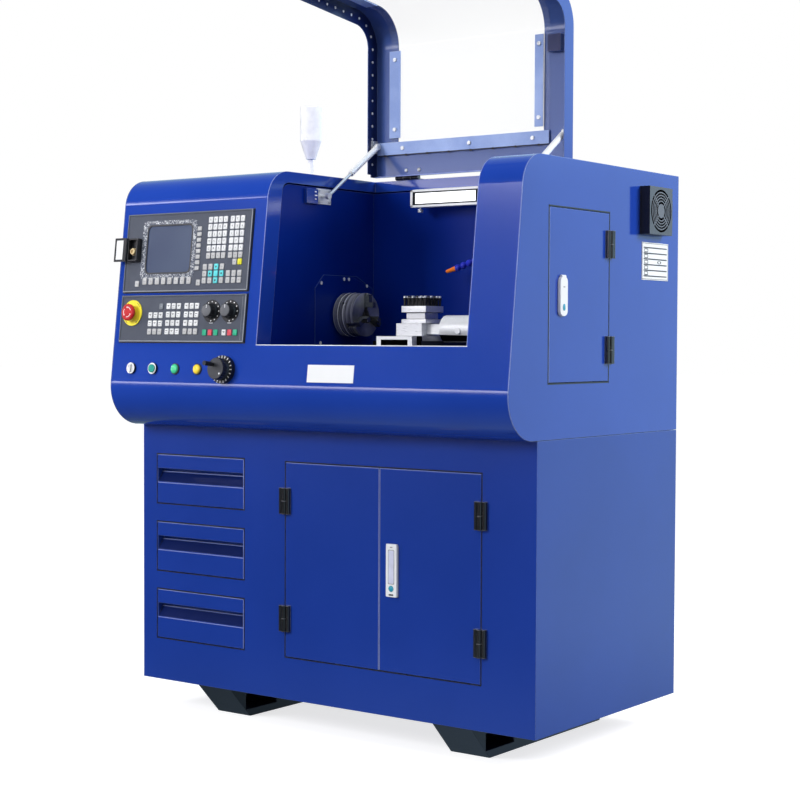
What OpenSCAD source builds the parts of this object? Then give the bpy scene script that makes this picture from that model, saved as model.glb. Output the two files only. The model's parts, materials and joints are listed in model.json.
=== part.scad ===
// Benchtop CNC lathe on a drawer cabinet, in millimetres.
// +X runs along the spindle axis from the headstock to the tailstock end, +Y to the back, +Z up.
// The origin is on the floor, under the middle of the overall bounding box.

/* [Cabinet] */
// Overall width of the cabinet and of the enclosure on it
cab_w = 1200; // [1180:1:1300]
// Depth of the cabinet and of the enclosure behind the nose
cab_d = 650; // [640:1:760]
// Height of the cabinet body
cab_h = 658; // [640:1:760]
// Thickness of the sheet steel
sheet = 2; // [1.5:0.1:3]
// Gap round a door or drawer front
seam = 1.5; // [1:0.1:3]
// Sealing strip between the cabinet and the enclosure
deck_seal = 1; // [0.5:0.1:3]

/* [Feet] */
// Height of the two foot channels
foot_h = 78; // [50:1:120]
// Width of each foot channel
foot_w = 108; // [80:1:140]
// Wall of a foot channel
foot_wall = 4; // [3:0.5:8]
// How far the ends of a foot slope back on the way down
foot_slope = 75; // [30:1:110]
// Centre of the left foot, from the left side
foot_left = 248; // [150:1:300]
// Centre of the right foot, from the right side
foot_right = 223; // [150:1:300]
// Length of the fork slot in a foot's side
fork_len = 120; // [80:1:200]
// Height of the fork slot
fork_h = 41; // [20:1:44]
// Start of the fork slot, from the foot's front edge
fork_start = 58; // [40:1:100]

/* [Drawers] */
// Number of drawers
drawer_count = 3; // [3:1:3]
// Width of a drawer front
drawer_w = 299; // [240:1:320]
// Height of a drawer front
drawer_h = 127; // [110:1:140]
// Pitch from drawer to drawer
drawer_pitch = 174.3; // [150:0.1:180]
// Left edge of the drawers, from the left side
drawer_left = 48.5; // [30:0.5:60]
// Lower edge of the lowest drawer, above the cabinet bottom
drawer_low = 107; // [60:1:120]
// Depth of a drawer box behind its front
drawer_deep = 520; // [400:1:560]
// Depth of the hollow drawer front
front_deep = 26; // [20:1:35]
// Flat strip above the finger recess
recess_top = 35; // [25:1:40]
// Height of the finger recess
recess_h = 36; // [28:1:42]
// Width of the angle rail that a drawer runs on
rail_w = 12; // [8:1:16]

/* [Cabinet doors] */
// Width of the pair of doors
doors_w = 574; // [480:1:600]
// Height of the doors
doors_h = 477; // [400:1:520]
// Left edge of the doors, from the left side
doors_left = 481; // [440:1:500]
// Lower edge of the doors, above the cabinet bottom
doors_low = 104; // [60:1:130]
// Depth of a door's folded edge
door_edge = 18; // [12:1:25]
// Height of a hinge
hinge_h = 64; // [50:1:80]
// Width of one hinge leaf
hinge_leaf = 16; // [12:1:20]
// Barrel diameter of a hinge
hinge_barrel = 12; // [9:0.5:14]
// Pin diameter of a hinge
hinge_pin = 5; // [3:0.5:6]
// Distance from a door's end to its hinge
hinge_inset = 63; // [40:1:90]
// Width of a cabinet door handle
handle_w = 32; // [24:1:40]
// Length of the handle on the front door
handle_h = 128; // [100:1:140]
// Thickness of a handle
handle_t = 7; // [5:0.5:10]

/* [Enclosure] */
// Height of the enclosure
enc_h = 626; // [600:1:700]
// Slant of the fascia from the vertical, in degrees
slant = 6.7; // [3:0.1:8]
// Overhang of the fascia's sharp lower corner in front of the cabinet
nose = 130.5; // [115:0.5:150]
// Radius of the upper bend
bend_top = 76; // [60:1:90]
// Radius of the lower bend
bend_low = 100; // [80:1:110]
// Width of the working window
win_w = 604; // [580:1:640]
// Right edge of the window, from the right side
win_right = 116; // [100:1:130]
// Height of the window sill, measured up the fascia from its sharp lower corner
sill = 208.5; // [200:0.5:230]
// Back edge of the roof opening, from the cabinet's front
win_back = 357; // [340:1:380]
// Depth of the folded jamb beside the window
jamb = 50; // [40:1:60]
// Depth of the folded edge under the roof opening
roof_fold = 27; // [20:1:30]
// Dark drain slot under the roof fold
drain_slot = 4; // [3:0.5:8]
// Radius of the jamb's inner corner
jamb_r = 24; // [15:1:30]
// Back wall of the work chamber, from the cabinet's front
chamber_back = 351; // [345:1:356]
// Strip of the fascia sheet that lies on the cabinet
lap = 40; // [25:1:60]

/* [Lid] */
// Side clearance of the lid in the roof opening
lid_gap = 9.5; // [8:0.5:12]
// Bend radius of the lid
lid_bend = 95; // [85:1:100]
// Depth of the lid's side flanges
lid_flange = 40; // [30:1:44]
// Width of the frame beside the pane
lid_rim = 70; // [60:1:80]
// Width of the frame at the hinge and at the front edge
lid_end = 58; // [50:1:70]
// Thickness of the clear pane
pane_t = 4; // [3:0.5:5]
// Overlap of the pane on the frame
pane_lap = 18; // [12:1:20]
// Width of a retaining strip
strip_w = 34; // [28:1:38]
// Width of the retaining strip at the right
strip_right_w = 24; // [20:1:34]
// Height of the hinge axis above the roof
lid_axis_up = 6; // [6:0.5:7]
// Gap between the lid's back edge and the hinge axis
lid_back_gap = 3; // [2:0.5:5]
// Opening angle of the lid as it stands, in degrees
lid_open = 90; // [90:1:90]

/* [Gas struts] */
// Wall pivot, from the cabinet's front
strut_y = 135; // [125:1:140]
// Distance of a strut from the chamber's wall
strut_in = 24; // [21:0.5:27]
// Wall pivot, below the roof
strut_down = 52; // [50:1:60]
// Lid pivot, along the lid from the hinge axis
strut_lid = 81; // [78:1:84]
// Lid pivot, below the hinge axis when the lid is shut
strut_deep = 22; // [18:1:24]
// Tube diameter
strut_d = 15; // [12:0.5:16]
// Rod diameter
rod_d = 8; // [6:0.5:9]
// Tube length
tube_len = 126; // [110:1:130]

/* [Side and rear doors] */
// Front edge of the side door, from the cabinet's front
side_door_y = 43; // [30:1:60]
// Width of the side door
side_door_w = 265; // [240:1:280]
// Height of the side door
side_door_h = 390; // [360:1:400]
// Lower edge of the side door, above the cabinet
side_door_z = 126; // [115:1:140]
// Width of the rear door
rear_door_w = 560; // [500:1:600]
// Height of the rear door
rear_door_h = 372; // [340:1:380]
// Upper edge of the rear door, below the roof
rear_door_down = 13; // [12:1:25]
// Distance of the rear door from the right side
rear_door_in = 20; // [18:1:40]
// Distance from a service door's end to its hinge
service_inset = 41; // [30:1:60]
// Length of the side door's handle
side_handle_h = 96; // [80:1:110]

/* [Control panels] */
// Width of both control panels
panel_w = 420; // [400:1:424]
// Height of the display panel
hmi_h = 198; // [185:1:199]
// Height of the operator panel
op_h = 117; // [105:1:118]
// Centre of the display panel up the fascia
hmi_s = 437.5; // [432:0.5:440]
// Centre of the operator panel up the fascia
op_s = 271.5; // [270:0.5:274]
// Left edge of the panels, from the left side
panel_left = 21; // [21:0.5:30]
// Thickness of the panel plates
panel_t = 5; // [4:0.5:7]
// Width of the screen
screen_w = 154; // [140:1:165]
// Height of the screen
screen_h = 122; // [100:1:130]
// Centre of the screen, from the panel's left edge
screen_x = 149; // [145:1:152]
// Centre of the screen above the panel's centre
screen_up = 8; // [4:1:12]
// Width of a panel key
key_w = 13; // [10:0.5:14]
// Height of a panel key
key_h = 14.5; // [10:0.5:15]
// Centre of the letter keys, from the panel's left edge
letters_x = 309.5; // [305:0.5:312]
// Centre of the number keys, from the panel's left edge
numbers_x = 373; // [370:0.5:376]
// How far the keys stand proud
key_out = 1.2; // [0.8:0.1:2]

/* [Operating elements] */
// Emergency stop, from the panel's left edge
estop_x = 42; // [40:1:50]
// Diameter of the yellow emergency stop ring
estop_ring_d = 65; // [50:1:68]
// Diameter of the emergency stop mushroom
estop_d = 42; // [34:1:44]
// Height of the mushroom's face above the panel
estop_out = 21; // [19:1:30]
// First override knob, from the panel's left edge
knob_x = 310.5; // [308:0.5:312]
// Distance between the override knobs
knob_pitch = 60; // [57:1:64]
// Diameter of an override knob
knob_d = 34; // [30:1:36]
// Height of an override knob
knob_out = 21; // [18:1:28]
// Height of the knobs above the operator panel's centre
knob_up = 17; // [10:1:20]
// Row of push buttons, up the fascia
button_s = 146.5; // [130:0.5:155]
// First push button, from the panel's left edge
button_x = 51; // [45:1:60]
// Pitch of the push buttons
button_pitch = 74.8; // [60:0.1:76]
// Diameter of a push button's ring
button_d = 28; // [24:1:30]
// Handwheel, from the panel's left edge
wheel_x = 363; // [350:1:370]
// Diameter of the handwheel's dial
wheel_dial_d = 68; // [58:1:70]
// Diameter of the handwheel
wheel_d = 50; // [40:1:54]
// Height of the handwheel above the fascia
wheel_out = 34; // [28:1:40]
// Length of the crank grip
grip_len = 30; // [20:1:34]
// Width of the port box
port_w = 34; // [32:1:44]
// Height of the port box
port_h = 58; // [54:1:68]
// Depth of the port box
port_out = 15; // [14:1:24]
// Centre of the port box up the fascia
port_s = 444.5; // [440:0.5:450]
// Left edge of the port box, from the left side
port_left = 40; // [38:0.5:42]

/* [Machine] */
// Spindle axis, from the cabinet's front
axis_y = 228; // [220:1:236]
// Spindle axis, above the cabinet
axis_h = 283; // [275:1:290]
// Height of the bed's ways above the cabinet
bed_h = 169; // [160:1:172]
// Width of the bed
bed_w = 180; // [160:1:190]
// Width of the channel between the ways
bed_channel = 100; // [90:1:110]
// Chuck diameter
chuck_d = 110; // [100:1:120]
// Chuck body length
chuck_len = 62; // [50:1:66]
// Chuck back face, from the chamber's left wall
chuck_in = 8.5; // [7:0.5:12]
// Through bore of the chuck and spindle
chuck_bore = 26; // [20:0.5:30]
// Hole for bar stock in the left side panel
bar_hole = 50; // [40:1:70]
// Width of a jaw
jaw_w = 12; // [10:0.5:14]
// How far the jaws stand out of the chuck
jaw_out = 26; // [16:1:28]
// Tool post centre, from the chamber's left wall
post_x = 297.5; // [290:0.5:300]
// Tool post centre, from the cabinet's front
post_y = 155; // [150:1:160]
// Side of the square tool post
post_w = 72; // [64:1:76]
// Diameter of the tool post's motor
post_motor_d = 66; // [56:1:68]
// Length of the tool post's motor
post_motor_len = 122; // [100:1:130]

/* [Fittings] */
// Side of the square filter fan
fan_w = 114; // [100:1:120]
// Depth of the filter fan
fan_out = 27; // [24:1:32]
// Front edge of the fan, from the cabinet's front
fan_y = 453; // [440:1:460]
// Upper edge of the fan, below the roof
fan_down = 38; // [30:1:50]
// Length of the work lamp
lamp_len = 210; // [160:1:215]
// Height of the work lamp
lamp_h = 44; // [36:1:50]
// Signal lamp, from the left side
signal_x = 147; // [100:1:200]
// Signal lamp, from the cabinet's front
signal_y = 500; // [440:1:540]
// Height of the signal lamp's pole
pole_h = 90; // [60:1:120]
// Diameter of the signal lamp
signal_d = 58; // [48:1:64]
// Height of the signal lamp's lens
signal_h = 92; // [70:1:120]

// Front edge of the chart plate, from the cabinet's front
chart_y = 464; // [450:1:500]
// Width of the chart plate
chart_w = 132; // [100:1:140]
// Upper edge of the chart plate, below the roof
chart_down = 170; // [165:1:200]
// Height of the chart plate
chart_h = 90; // [70:1:100]
// Height of the coolant tank
tank_h = 218; // [180:1:240]

/* [Clearances] */
// Clearance between parts that move past each other
slip = 0.3; // [0.25:0.05:0.4]
// Radial clearance of a running fit
run = 0.05; // [0.02:0.01:0.1]

/* [Hidden] */
$fn = 64;

// Colours
BLUE = [0.08, 0.17, 0.50];
DARK = [0.16, 0.17, 0.20];
BLACK = [0.06, 0.06, 0.07];
WHITE = [0.92, 0.93, 0.95];
SILVER = [0.75, 0.76, 0.78];
IRON = [0.35, 0.37, 0.40];

// Slant of the fascia
sin_s = sin(slant);
cos_s = cos(slant);

// Hinges of the cabinet, side and rear doors
axis_out = hinge_barrel / 2 + 0.5;
leaf_t = 3;
leaf_r = 4.7;
leaf_thick = 5;
hinge_reach = axis_out + hinge_barrel / 2;

// Port box flap
flap_t = 3;
flap_w = port_w + 6;
flap_axis_in = 2.5;
flap_past = flap_w + flap_axis_in - port_left;

// Crank grip on the handwheel
grip_r = 5.5;
grip_side = 9;
grip_up = 10;
dial_h = 12;
wheel_face = wheel_out - dial_h - 1;
grip_top = dial_h + wheel_face + 2 * slip + grip_len;

// The origin lies under the middle of the bounding box
front_reach = nose - (button_s + grip_up) * sin_s + grip_top * cos_s + grip_r * sin_s;
left_x = -(cab_w + fan_out - flap_past) / 2;
right_x = left_x + cab_w;
front_y = -(cab_d + hinge_reach - front_reach) / 2;
back_y = front_y + cab_d;
base_z = foot_h;
deck_z = base_z + cab_h;
enc_z = deck_z + deck_seal;
top_z = enc_z + enc_h;

// Window and work chamber
win_x1 = right_x - win_right;
win_x0 = win_x1 - win_w;
win_back_y = front_y + win_back;
back_wall_y = front_y + chamber_back;
low_c = [slant_y(enc_z + bend_low, bend_low), enc_z + bend_low];
tray_y = low_c[0] + 2;
tray_z = enc_z + sheet;
liner_top_z = top_z - roof_fold - drain_slot;
sill_deep = (nose - sill * sin_s + tray_y - front_y - slip) / cos_s;

// Lathe axes
axis_yy = front_y + axis_y;
axis_z = deck_z + axis_h;
bed_top = deck_z + bed_h;
post_cx = win_x0 + post_x;
post_cy = front_y + post_y;

// Distance up the slanted fascia to a point, and the fascia's face at a height
function slant_y(z, inset) = front_y - nose + (z - enc_z) * tan(slant) + inset / cos_s;
function fascia_y(s, out) = front_y - nose + s * sin_s - out * cos_s;
function fascia_z(s, out) = enc_z + s * cos_s + out * sin_s;

// A box between two corners
module block(x, y, z) {
    translate([x[0], y[0], z[0]]) cube([x[1] - x[0], y[1] - y[0], z[1] - z[0]]);
}

// Extrudes a (y, z) outline from x[0] to x[1]
module along_x(x) {
    translate([x[0], 0, 0]) rotate([90, 0, 90]) linear_extrude(x[1] - x[0]) children();
}

// Turns a cylinder so that it runs along +X or +Y
module to_x() {
    rotate([0, 90, 0]) children();
}

module to_y() {
    rotate([-90, 0, 0]) children();
}

// Places a piece on the fascia: local X to the right, Y up the slant, Z outwards
module on_fascia(x, s, out = 0) {
    translate([x, fascia_y(s, out), fascia_z(s, out)]) rotate([90 - slant, 0, 0]) children();
}

// What rounds an outline's corner: all that lies outside a circle between its two tangent points
module off_corner(c, r, corner, dirs) {
    difference() {
        polygon([c + r * dirs[0], corner + 5 * (dirs[0] + dirs[1]), c + r * dirs[1]]);
        translate(c) circle(r);
    }
}

fascia_dir = [-cos_s, sin_s];

// Side outline of the enclosure, inset by d, with the given top bend radius
module profile(d, top_r = bend_top) {
    top_c = [slant_y(top_z - top_r, top_r), top_z - top_r];
    low = [slant_y(enc_z + d, d), enc_z + d];
    top = [slant_y(top_z - d, d), top_z - d];
    difference() {
        polygon([low, top, [back_y, top[1]], [back_y, low[1]]]);
        off_corner(low_c, bend_low - d, low, [[0, -1], fascia_dir]);
        off_corner(top_c, top_r - d, top, [fascia_dir, [0, 1]]);
    }
}

// Outline inside the window's jamb: inset by front_d from the fascia and top_d from the roof
module jamb_profile(front_d, top_d, r) {
    top = [slant_y(top_z - top_d, front_d), top_z - top_d];
    c = [slant_y(top[1] - r, front_d + r), top[1] - r];
    difference() {
        polygon([
            [slant_y(enc_z, front_d), enc_z], top, [back_y + 10, top[1]], [back_y + 10, enc_z]
        ]);
        off_corner(c, r, top, [fascia_dir, [0, 1]]);
    }
}

// Side view of everything above the sill and in front of the roof opening's back edge
module window_region(back_inset = 0, sill_up = 0) {
    deep = sill_deep + 30;
    far = 80;
    s = sill + sill_up;
    polygon([
        [fascia_y(s, far), fascia_z(s, far)],
        [fascia_y(s, -deep), fascia_z(s, -deep)],
        [win_back_y - back_inset, fascia_z(s, -deep)],
        [win_back_y - back_inset, top_z + far],
        [fascia_y(s, far), top_z + far]
    ]);
}

// ---------------------------------------------------------------- cabinet

drawer_x = [left_x + drawer_left, left_x + drawer_left + drawer_w];
doors_x = [left_x + doors_left, left_x + doors_left + doors_w];
doors_z = [base_z + doors_low, base_z + doors_low + doors_h];
doors_mid = (doors_x[0] + doors_x[1]) / 2;
bay_gap = 6;
bay_x = [drawer_x[0] - bay_gap, drawer_x[1] + bay_gap];
rail_lift = 24;
inner_z = [base_z + sheet, deck_z - sheet];

function drawer_z(i) = base_z + drawer_low + i * drawer_pitch;

module cabinet() {
    color(BLUE) union() {
        difference() {
            block([left_x, right_x], [front_y, back_y], [base_z, deck_z]);
            block([left_x + sheet, right_x - sheet], [front_y + sheet, back_y - sheet], inner_z);
            for (i = [0:drawer_count - 1])
                block(drawer_x, [front_y - 1, front_y + sheet + 1],
                      [drawer_z(i), drawer_z(i) + drawer_h]);
            block(doors_x, [front_y - 1, front_y + sheet + 1], doors_z);
        }
        // Bay plates on both sides of the drawers
        for (x = [bay_x[0] - sheet, bay_x[1]])
            block([x, x + sheet], [front_y + sheet, back_y - sheet], inner_z);
        // Rails that the drawers run on
        for (i = [0:drawer_count - 1]) {
            rail_z = drawer_z(i) + rail_lift;
            for (x = [bay_x[0], bay_x[1] - rail_w])
                block([x, x + rail_w], [front_y + front_deep + 14, front_y + front_deep + drawer_deep],
                      [rail_z, rail_z + sheet]);
        }
    }
}

module foot(mid_x) {
    x = [mid_x - foot_w / 2, mid_x + foot_w / 2];
    inner = [x[0] + foot_wall, x[1] - foot_wall];
    fork_z = (foot_h - fork_h) / 2;
    color(DARK) difference() {
        along_x(x) polygon([
            [front_y, foot_h], [front_y + foot_slope, 0],
            [back_y - foot_slope, 0], [back_y, foot_h]
        ]);
        along_x(inner) polygon([
            [front_y + foot_wall * 2, foot_h + 1], [front_y + foot_slope + foot_wall, foot_wall],
            [back_y - foot_slope - foot_wall, foot_wall], [back_y - foot_wall * 2, foot_h + 1]
        ]);
        for (y = [front_y + fork_start, back_y - fork_start - fork_len])
            block([x[0] - 1, x[1] + 1], [y, y + fork_len], [fork_z, fork_z + fork_h]);
    }
}

module foot_channels() {
    foot(left_x + foot_left);
    foot(right_x - foot_right);
}

// Side view of a drawer front with its finger recess
module drawer_front_outline(h) {
    lip = 3;
    floor_in = 17;
    back_in = front_deep - lip;
    low = h - recess_top - recess_h;
    ledge = low + recess_h - 9;
    difference() {
        polygon([[0, 0], [front_deep, 0], [front_deep, h], [0, h]]);
        polygon([
            [-1, low], [floor_in, ledge], [back_in, ledge], [back_in, h - recess_top + 12],
            [lip, h - recess_top + 12], [lip, h - recess_top], [-1, h - recess_top]
        ]);
    }
}

module drawer(i) {
    z0 = drawer_z(i) + seam;
    h = drawer_h - 2 * seam;
    x = [drawer_x[0] + seam, drawer_x[1] - seam];
    end_t = 2;
    box_x = [bay_x[0] + rail_w + slip, bay_x[1] - rail_w - slip];
    box_y = [front_y + front_deep, front_y + front_deep + drawer_deep];
    box_z = [z0 + 6, z0 + h - 20];
    runner_z = drawer_z(i) + rail_lift + sheet + slip;
    color(BLUE) union() {
        translate([0, front_y, z0]) along_x([x[0] + end_t, x[1] - end_t]) drawer_front_outline(h);
        for (e = [x[0], x[1] - end_t])
            block([e, e + end_t], [front_y, front_y + front_deep], [z0, z0 + h]);
        difference() {
            block(box_x, box_y, box_z);
            block([box_x[0] + sheet, box_x[1] - sheet], [box_y[0] + sheet, box_y[1] - sheet],
                  [box_z[0] + sheet, box_z[1] + 1]);
        }
        // Runner flanges that rest on the rails
        for (r = [[drawer_x[0] + slip, box_x[0]], [box_x[1], drawer_x[1] - slip]])
            block(r, [box_y[0] + 14, box_y[1]], [runner_z, runner_z + 8]);
    }
}

module drawer_low() { drawer(0); }
module drawer_mid() { drawer(1); }
module drawer_top() { drawer(2); }

// A hinge stands on its panel at z = 0..hinge_h, with the door on its +X side and -Y outwards
knuckle_h = hinge_h / 2 - slip / 2;

module knuckle(z0) {
    translate([0, -axis_out, z0]) cylinder(d = hinge_barrel, h = knuckle_h);
}

// Raised round edge of a hinge leaf
module leaf_round(x) {
    translate([x, -leaf_thick, 0]) cylinder(r = leaf_r, h = hinge_h);
}

module fixed_leaf() {
    union() {
        block([-hinge_leaf, -hinge_barrel / 2 - slip], [-leaf_thick, 0], [0, hinge_h]);
        leaf_round(-hinge_leaf + leaf_r);
        block([-hinge_barrel / 2 - slip, 0], [-leaf_t, -slip], [hinge_h - knuckle_h, hinge_h]);
        knuckle(hinge_h - knuckle_h);
        translate([0, -axis_out, 0]) cylinder(d = hinge_pin, h = hinge_h);
    }
}

module moving_leaf() {
    difference() {
        union() {
            block([hinge_barrel / 2 + slip, hinge_leaf], [-leaf_thick, 0], [0, hinge_h]);
            leaf_round(hinge_leaf - leaf_r);
            block([0, hinge_barrel / 2 + slip], [-leaf_t, -slip], [0, knuckle_h]);
            knuckle(0);
        }
        translate([0, -axis_out, -1]) cylinder(d = hinge_pin + 2 * run, h = hinge_h + 2);
    }
}

// Puts children at both hinges of a door
module at_pair(z, inset) {
    for (z0 = [z[0] + inset, z[1] - inset - hinge_h]) translate([0, 0, z0]) children();
}

module at_left_door() { translate([doors_x[0] + seam / 2, front_y, 0]) children(); }
module at_right_door() { translate([doors_x[1] - seam / 2, front_y, 0]) mirror([1, 0, 0]) children(); }
module at_side_door() {
    translate([right_x, side_y[1] - seam / 2, 0]) rotate([0, 0, 90]) mirror([1, 0, 0]) children();
}
module at_rear_door() { translate([rear_x[1] - seam / 2, back_y, 0]) rotate([0, 0, 180]) children(); }

side_y = [front_y + side_door_y, front_y + side_door_y + side_door_w];
side_z = [deck_z + side_door_z, deck_z + side_door_z + side_door_h];
rear_x = [right_x - rear_door_in - rear_door_w, right_x - rear_door_in];
rear_z = [top_z - rear_door_down - rear_door_h, top_z - rear_door_down];

module fixed_hinge_leaves() {
    color(BLACK) {
        at_left_door() at_pair(doors_z, hinge_inset) fixed_leaf();
        at_right_door() at_pair(doors_z, hinge_inset) fixed_leaf();
        at_side_door() at_pair(side_z, service_inset) fixed_leaf();
        at_rear_door() at_pair(rear_z, service_inset) fixed_leaf();
        lid_hinge_fixed(lid_hinge_x[0]);
        lid_hinge_fixed(lid_hinge_x[1]);
    }
}

// A door as a folded pan, hinged at local x = 0, w wide, outer face at y = 0
module door_pan(w, z) {
    difference() {
        block([seam / 2, w], [0, door_edge], z);
        block([seam / 2 + sheet, w - sheet], [sheet, door_edge + 1], [z[0] + sheet, z[1] - sheet]);
    }
}

// A door's two hinge leaves with its pan
module hinged_door(w, z, inset, edge_z) {
    union() {
        door_pan(w, edge_z);
        at_pair(z, inset) moving_leaf();
    }
}

module left_door() {
    w = doors_mid - seam / 2 - doors_x[0] - seam / 2;
    color(BLUE) at_left_door() hinged_door(w, doors_z, hinge_inset, [doors_z[0] + seam, doors_z[1] - seam]);
}

handle_x = doors_mid + 24;
handle_z = base_z + 277.5;

module right_door() {
    w = doors_x[1] - seam / 2 - doors_mid - seam / 2;
    color(BLUE)
        at_right_door() hinged_door(w, doors_z, hinge_inset, [doors_z[0] + seam, doors_z[1] - seam]);
}

// A flush swing handle: pivots at its upper end; local -Y outwards, hangs down from z = 0
module swing_handle(w, h) {
    r = handle_t / 2;
    union() {
        block([-w / 2, w / 2], [-slip - handle_t, -slip], [-h + r, -r]);
        translate([-w / 2, -slip - r, -r]) to_x() cylinder(r = r, h = w);
        translate([0, -slip - handle_t + 0.5, -h + w * 0.55]) rotate([90, 0, 0])
            cylinder(d = w * 0.55, h = 1.5);
    }
}

module right_door_handle() {
    color(WHITE) translate([handle_x + handle_w / 2, front_y, handle_z + handle_h])
        swing_handle(handle_w, handle_h);
}

side_handle_y = side_y[0] + 54;
side_handle_z = deck_z + 271;

module side_door() {
    color(BLUE)
        at_side_door() hinged_door(side_door_w - seam - seam / 2, side_z, service_inset,
                                   [side_z[0] + seam, side_z[1] - seam]);
}

module side_door_handle() {
    color(WHITE) translate([right_x, side_handle_y, side_handle_z + side_handle_h])
        rotate([0, 0, 90]) swing_handle(handle_w, side_handle_h);
}

module rear_door() {
    color(BLUE)
        at_rear_door() hinged_door(rear_door_w - seam - seam / 2, rear_z, service_inset,
                                   [rear_z[0] + seam, rear_z[1] - seam]);
}

// ---------------------------------------------------------------- enclosure

panel_x = left_x + panel_left;
panel_mid = panel_x + panel_w / 2;
cut_in = 12;

module enclosure_wrap() {
    side_x = [left_x + sheet, right_x - sheet];
    color(BLUE) union() {
        difference() {
            along_x(side_x) difference() {
                profile(0);
                profile(sheet);
                translate([front_y + lap, enc_z - 1]) square([cab_d, enc_h + 1 - sheet]);
                translate([back_y - 2 * sheet, enc_z + sheet]) square([cab_d, enc_h - 2 * sheet]);
            }
            along_x([win_x0, win_x1]) window_region();
            // Cut-outs behind both control panels
            for (p = [[hmi_s, hmi_h], [op_s, op_h]])
                on_fascia(panel_mid, p[0], -10)
                    translate([-panel_w / 2 + cut_in, -p[1] / 2 + cut_in, 0])
                        cube([panel_w - 2 * cut_in, p[1] - 2 * cut_in, 20]);
        }
        // Folded jambs at the left and right of the window
        for (x = [win_x0 - sheet, win_x1])
            along_x([x, x + sheet]) intersection() {
                difference() {
                    profile(0);
                    jamb_profile(jamb, roof_fold, jamb_r);
                }
                window_region();
            }
        block([win_x0 - sheet, win_x1 + sheet], [win_back_y, win_back_y + sheet],
              [top_z - roof_fold, top_z]);
        on_fascia(win_x0, sill)
            translate([0, -sheet, -sill_deep]) cube([win_w, sheet, sill_deep - sheet / 2]);
    }
}

module side_plate(x) {
    along_x([x, x + sheet]) profile(0);
}

module left_side_panel() {
    color(BLUE) difference() {
        side_plate(left_x);
        translate([left_x - 1, axis_yy, axis_z]) to_x() cylinder(d = bar_hole, h = sheet + 2);
    }
}

fan_cy = front_y + fan_y + fan_w / 2;
fan_cz = top_z - fan_down - fan_w / 2;
fan_bore_r = fan_w / 2 - 6;

module right_side_panel() {
    color(BLUE) difference() {
        side_plate(right_x - sheet);
        block([right_x - sheet - 1, right_x + 1], side_y, side_z);
        translate([right_x - sheet - 1, fan_cy, fan_cz]) to_x() cylinder(r = fan_bore_r, h = sheet + 2);
    }
}

module rear_panel() {
    color(BLUE) difference() {
        block([left_x + sheet, right_x - sheet], [back_y - sheet, back_y], [enc_z, top_z - sheet]);
        block(rear_x, [back_y - sheet - 1, back_y + 1], rear_z);
    }
}

bed_x = [left_x + 160, win_x1 - 4];
bed_y = [axis_yy - bed_w / 2, axis_yy + bed_w / 2];
head_top = axis_z + 86;
boss_r = 50;
z_boss_r = 34;

module chamber_liner() {
    wall = [
        [win_x0 - sheet, win_x0],
        [win_x1, win_x1 + sheet]
    ];
    sill_z = fascia_z(sill, -sill_deep) - sheet;
    color(BLUE) difference() {
        union() {
            for (x = wall)
                along_x(x) difference() {
                    intersection() {
                        jamb_profile(jamb + slip, roof_fold + drain_slot, jamb_r);
                        translate([front_y - nose, tray_z]) square([back_wall_y - front_y + nose, enc_h]);
                    }
                    polygon([
                        [tray_y, tray_z - 1], [tray_y, sill_z],
                        [fascia_y(sill, -jamb), fascia_z(sill, -jamb) - sheet - slip],
                        [front_y - nose - 1, fascia_z(sill, 0)],
                        [front_y - nose - 1, tray_z - 1]
                    ]);
                }
            block([win_x0 - sheet, win_x1 + sheet], [back_wall_y, back_wall_y + sheet],
                  [tray_z, liner_top_z]);
            block([win_x0 - sheet, win_x1 + sheet], [tray_y, back_wall_y + sheet],
                  [tray_z, tray_z + sheet]);
            block([win_x0 - sheet, win_x1 + sheet], [tray_y, tray_y + sheet], [tray_z, sill_z]);
        }
        // Openings for the bed, the headstock and the feed motor
        block([win_x0 - 5, bed_x[1] + slip], [bed_y[0] - slip, bed_y[1] + slip],
              [tray_z - 1, tray_z + sheet + 1]);
        block([win_x0 - 5, win_x0 + 1], [bed_y[0] - slip, bed_y[1] + slip],
              [tray_z - 1, head_top - 20]);
        translate([win_x1 - 1, axis_yy, screw_z]) to_x() cylinder(r = z_boss_r + slip, h = sheet + 2);
    }
}

cover_up = 99;

module headstock_cover() {
    half = bed_w / 2;
    top = axis_z + cover_up;
    low = axis_z - 180;
    color(BLUE) difference() {
        union() {
            along_x([win_x0, win_x0 + sheet]) polygon([
                [axis_yy - half - 28, low], [axis_yy - half - 28, top - 35],
                [axis_yy - half + 6, top], [axis_yy + 24, top],
                [axis_yy + half + 26, top - 30], [axis_yy + half + 26, low]
            ]);
            for (p = [[-95, top - 21], [-4, top - 9], [15, top - 9], [90, top - 24], [-98, axis_z - 71]])
                translate([win_x0 + sheet, axis_yy + p[0], p[1]]) to_x() cylinder(r = 4.5, h = 2.5);
        }
        block([win_x0 - 1, win_x0 + sheet + 1], [bed_y[0] - slip, bed_y[1] + slip],
              [low - 1, bed_top + slip]);
        translate([win_x0 - 1, axis_yy, axis_z]) to_x() cylinder(r = spindle_r + 2, h = sheet + 2);
    }
}

// ---------------------------------------------------------------- lathe

spindle_r = 30;
channel_deep = 75;
channel_wall = 15;
screw_r = 10;
journal_r = 7;
screw_z = bed_top - 40;
motor_gap = 4;
tail_r = 18;
motor_w = 130;
z_motor_w = 80;

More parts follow.
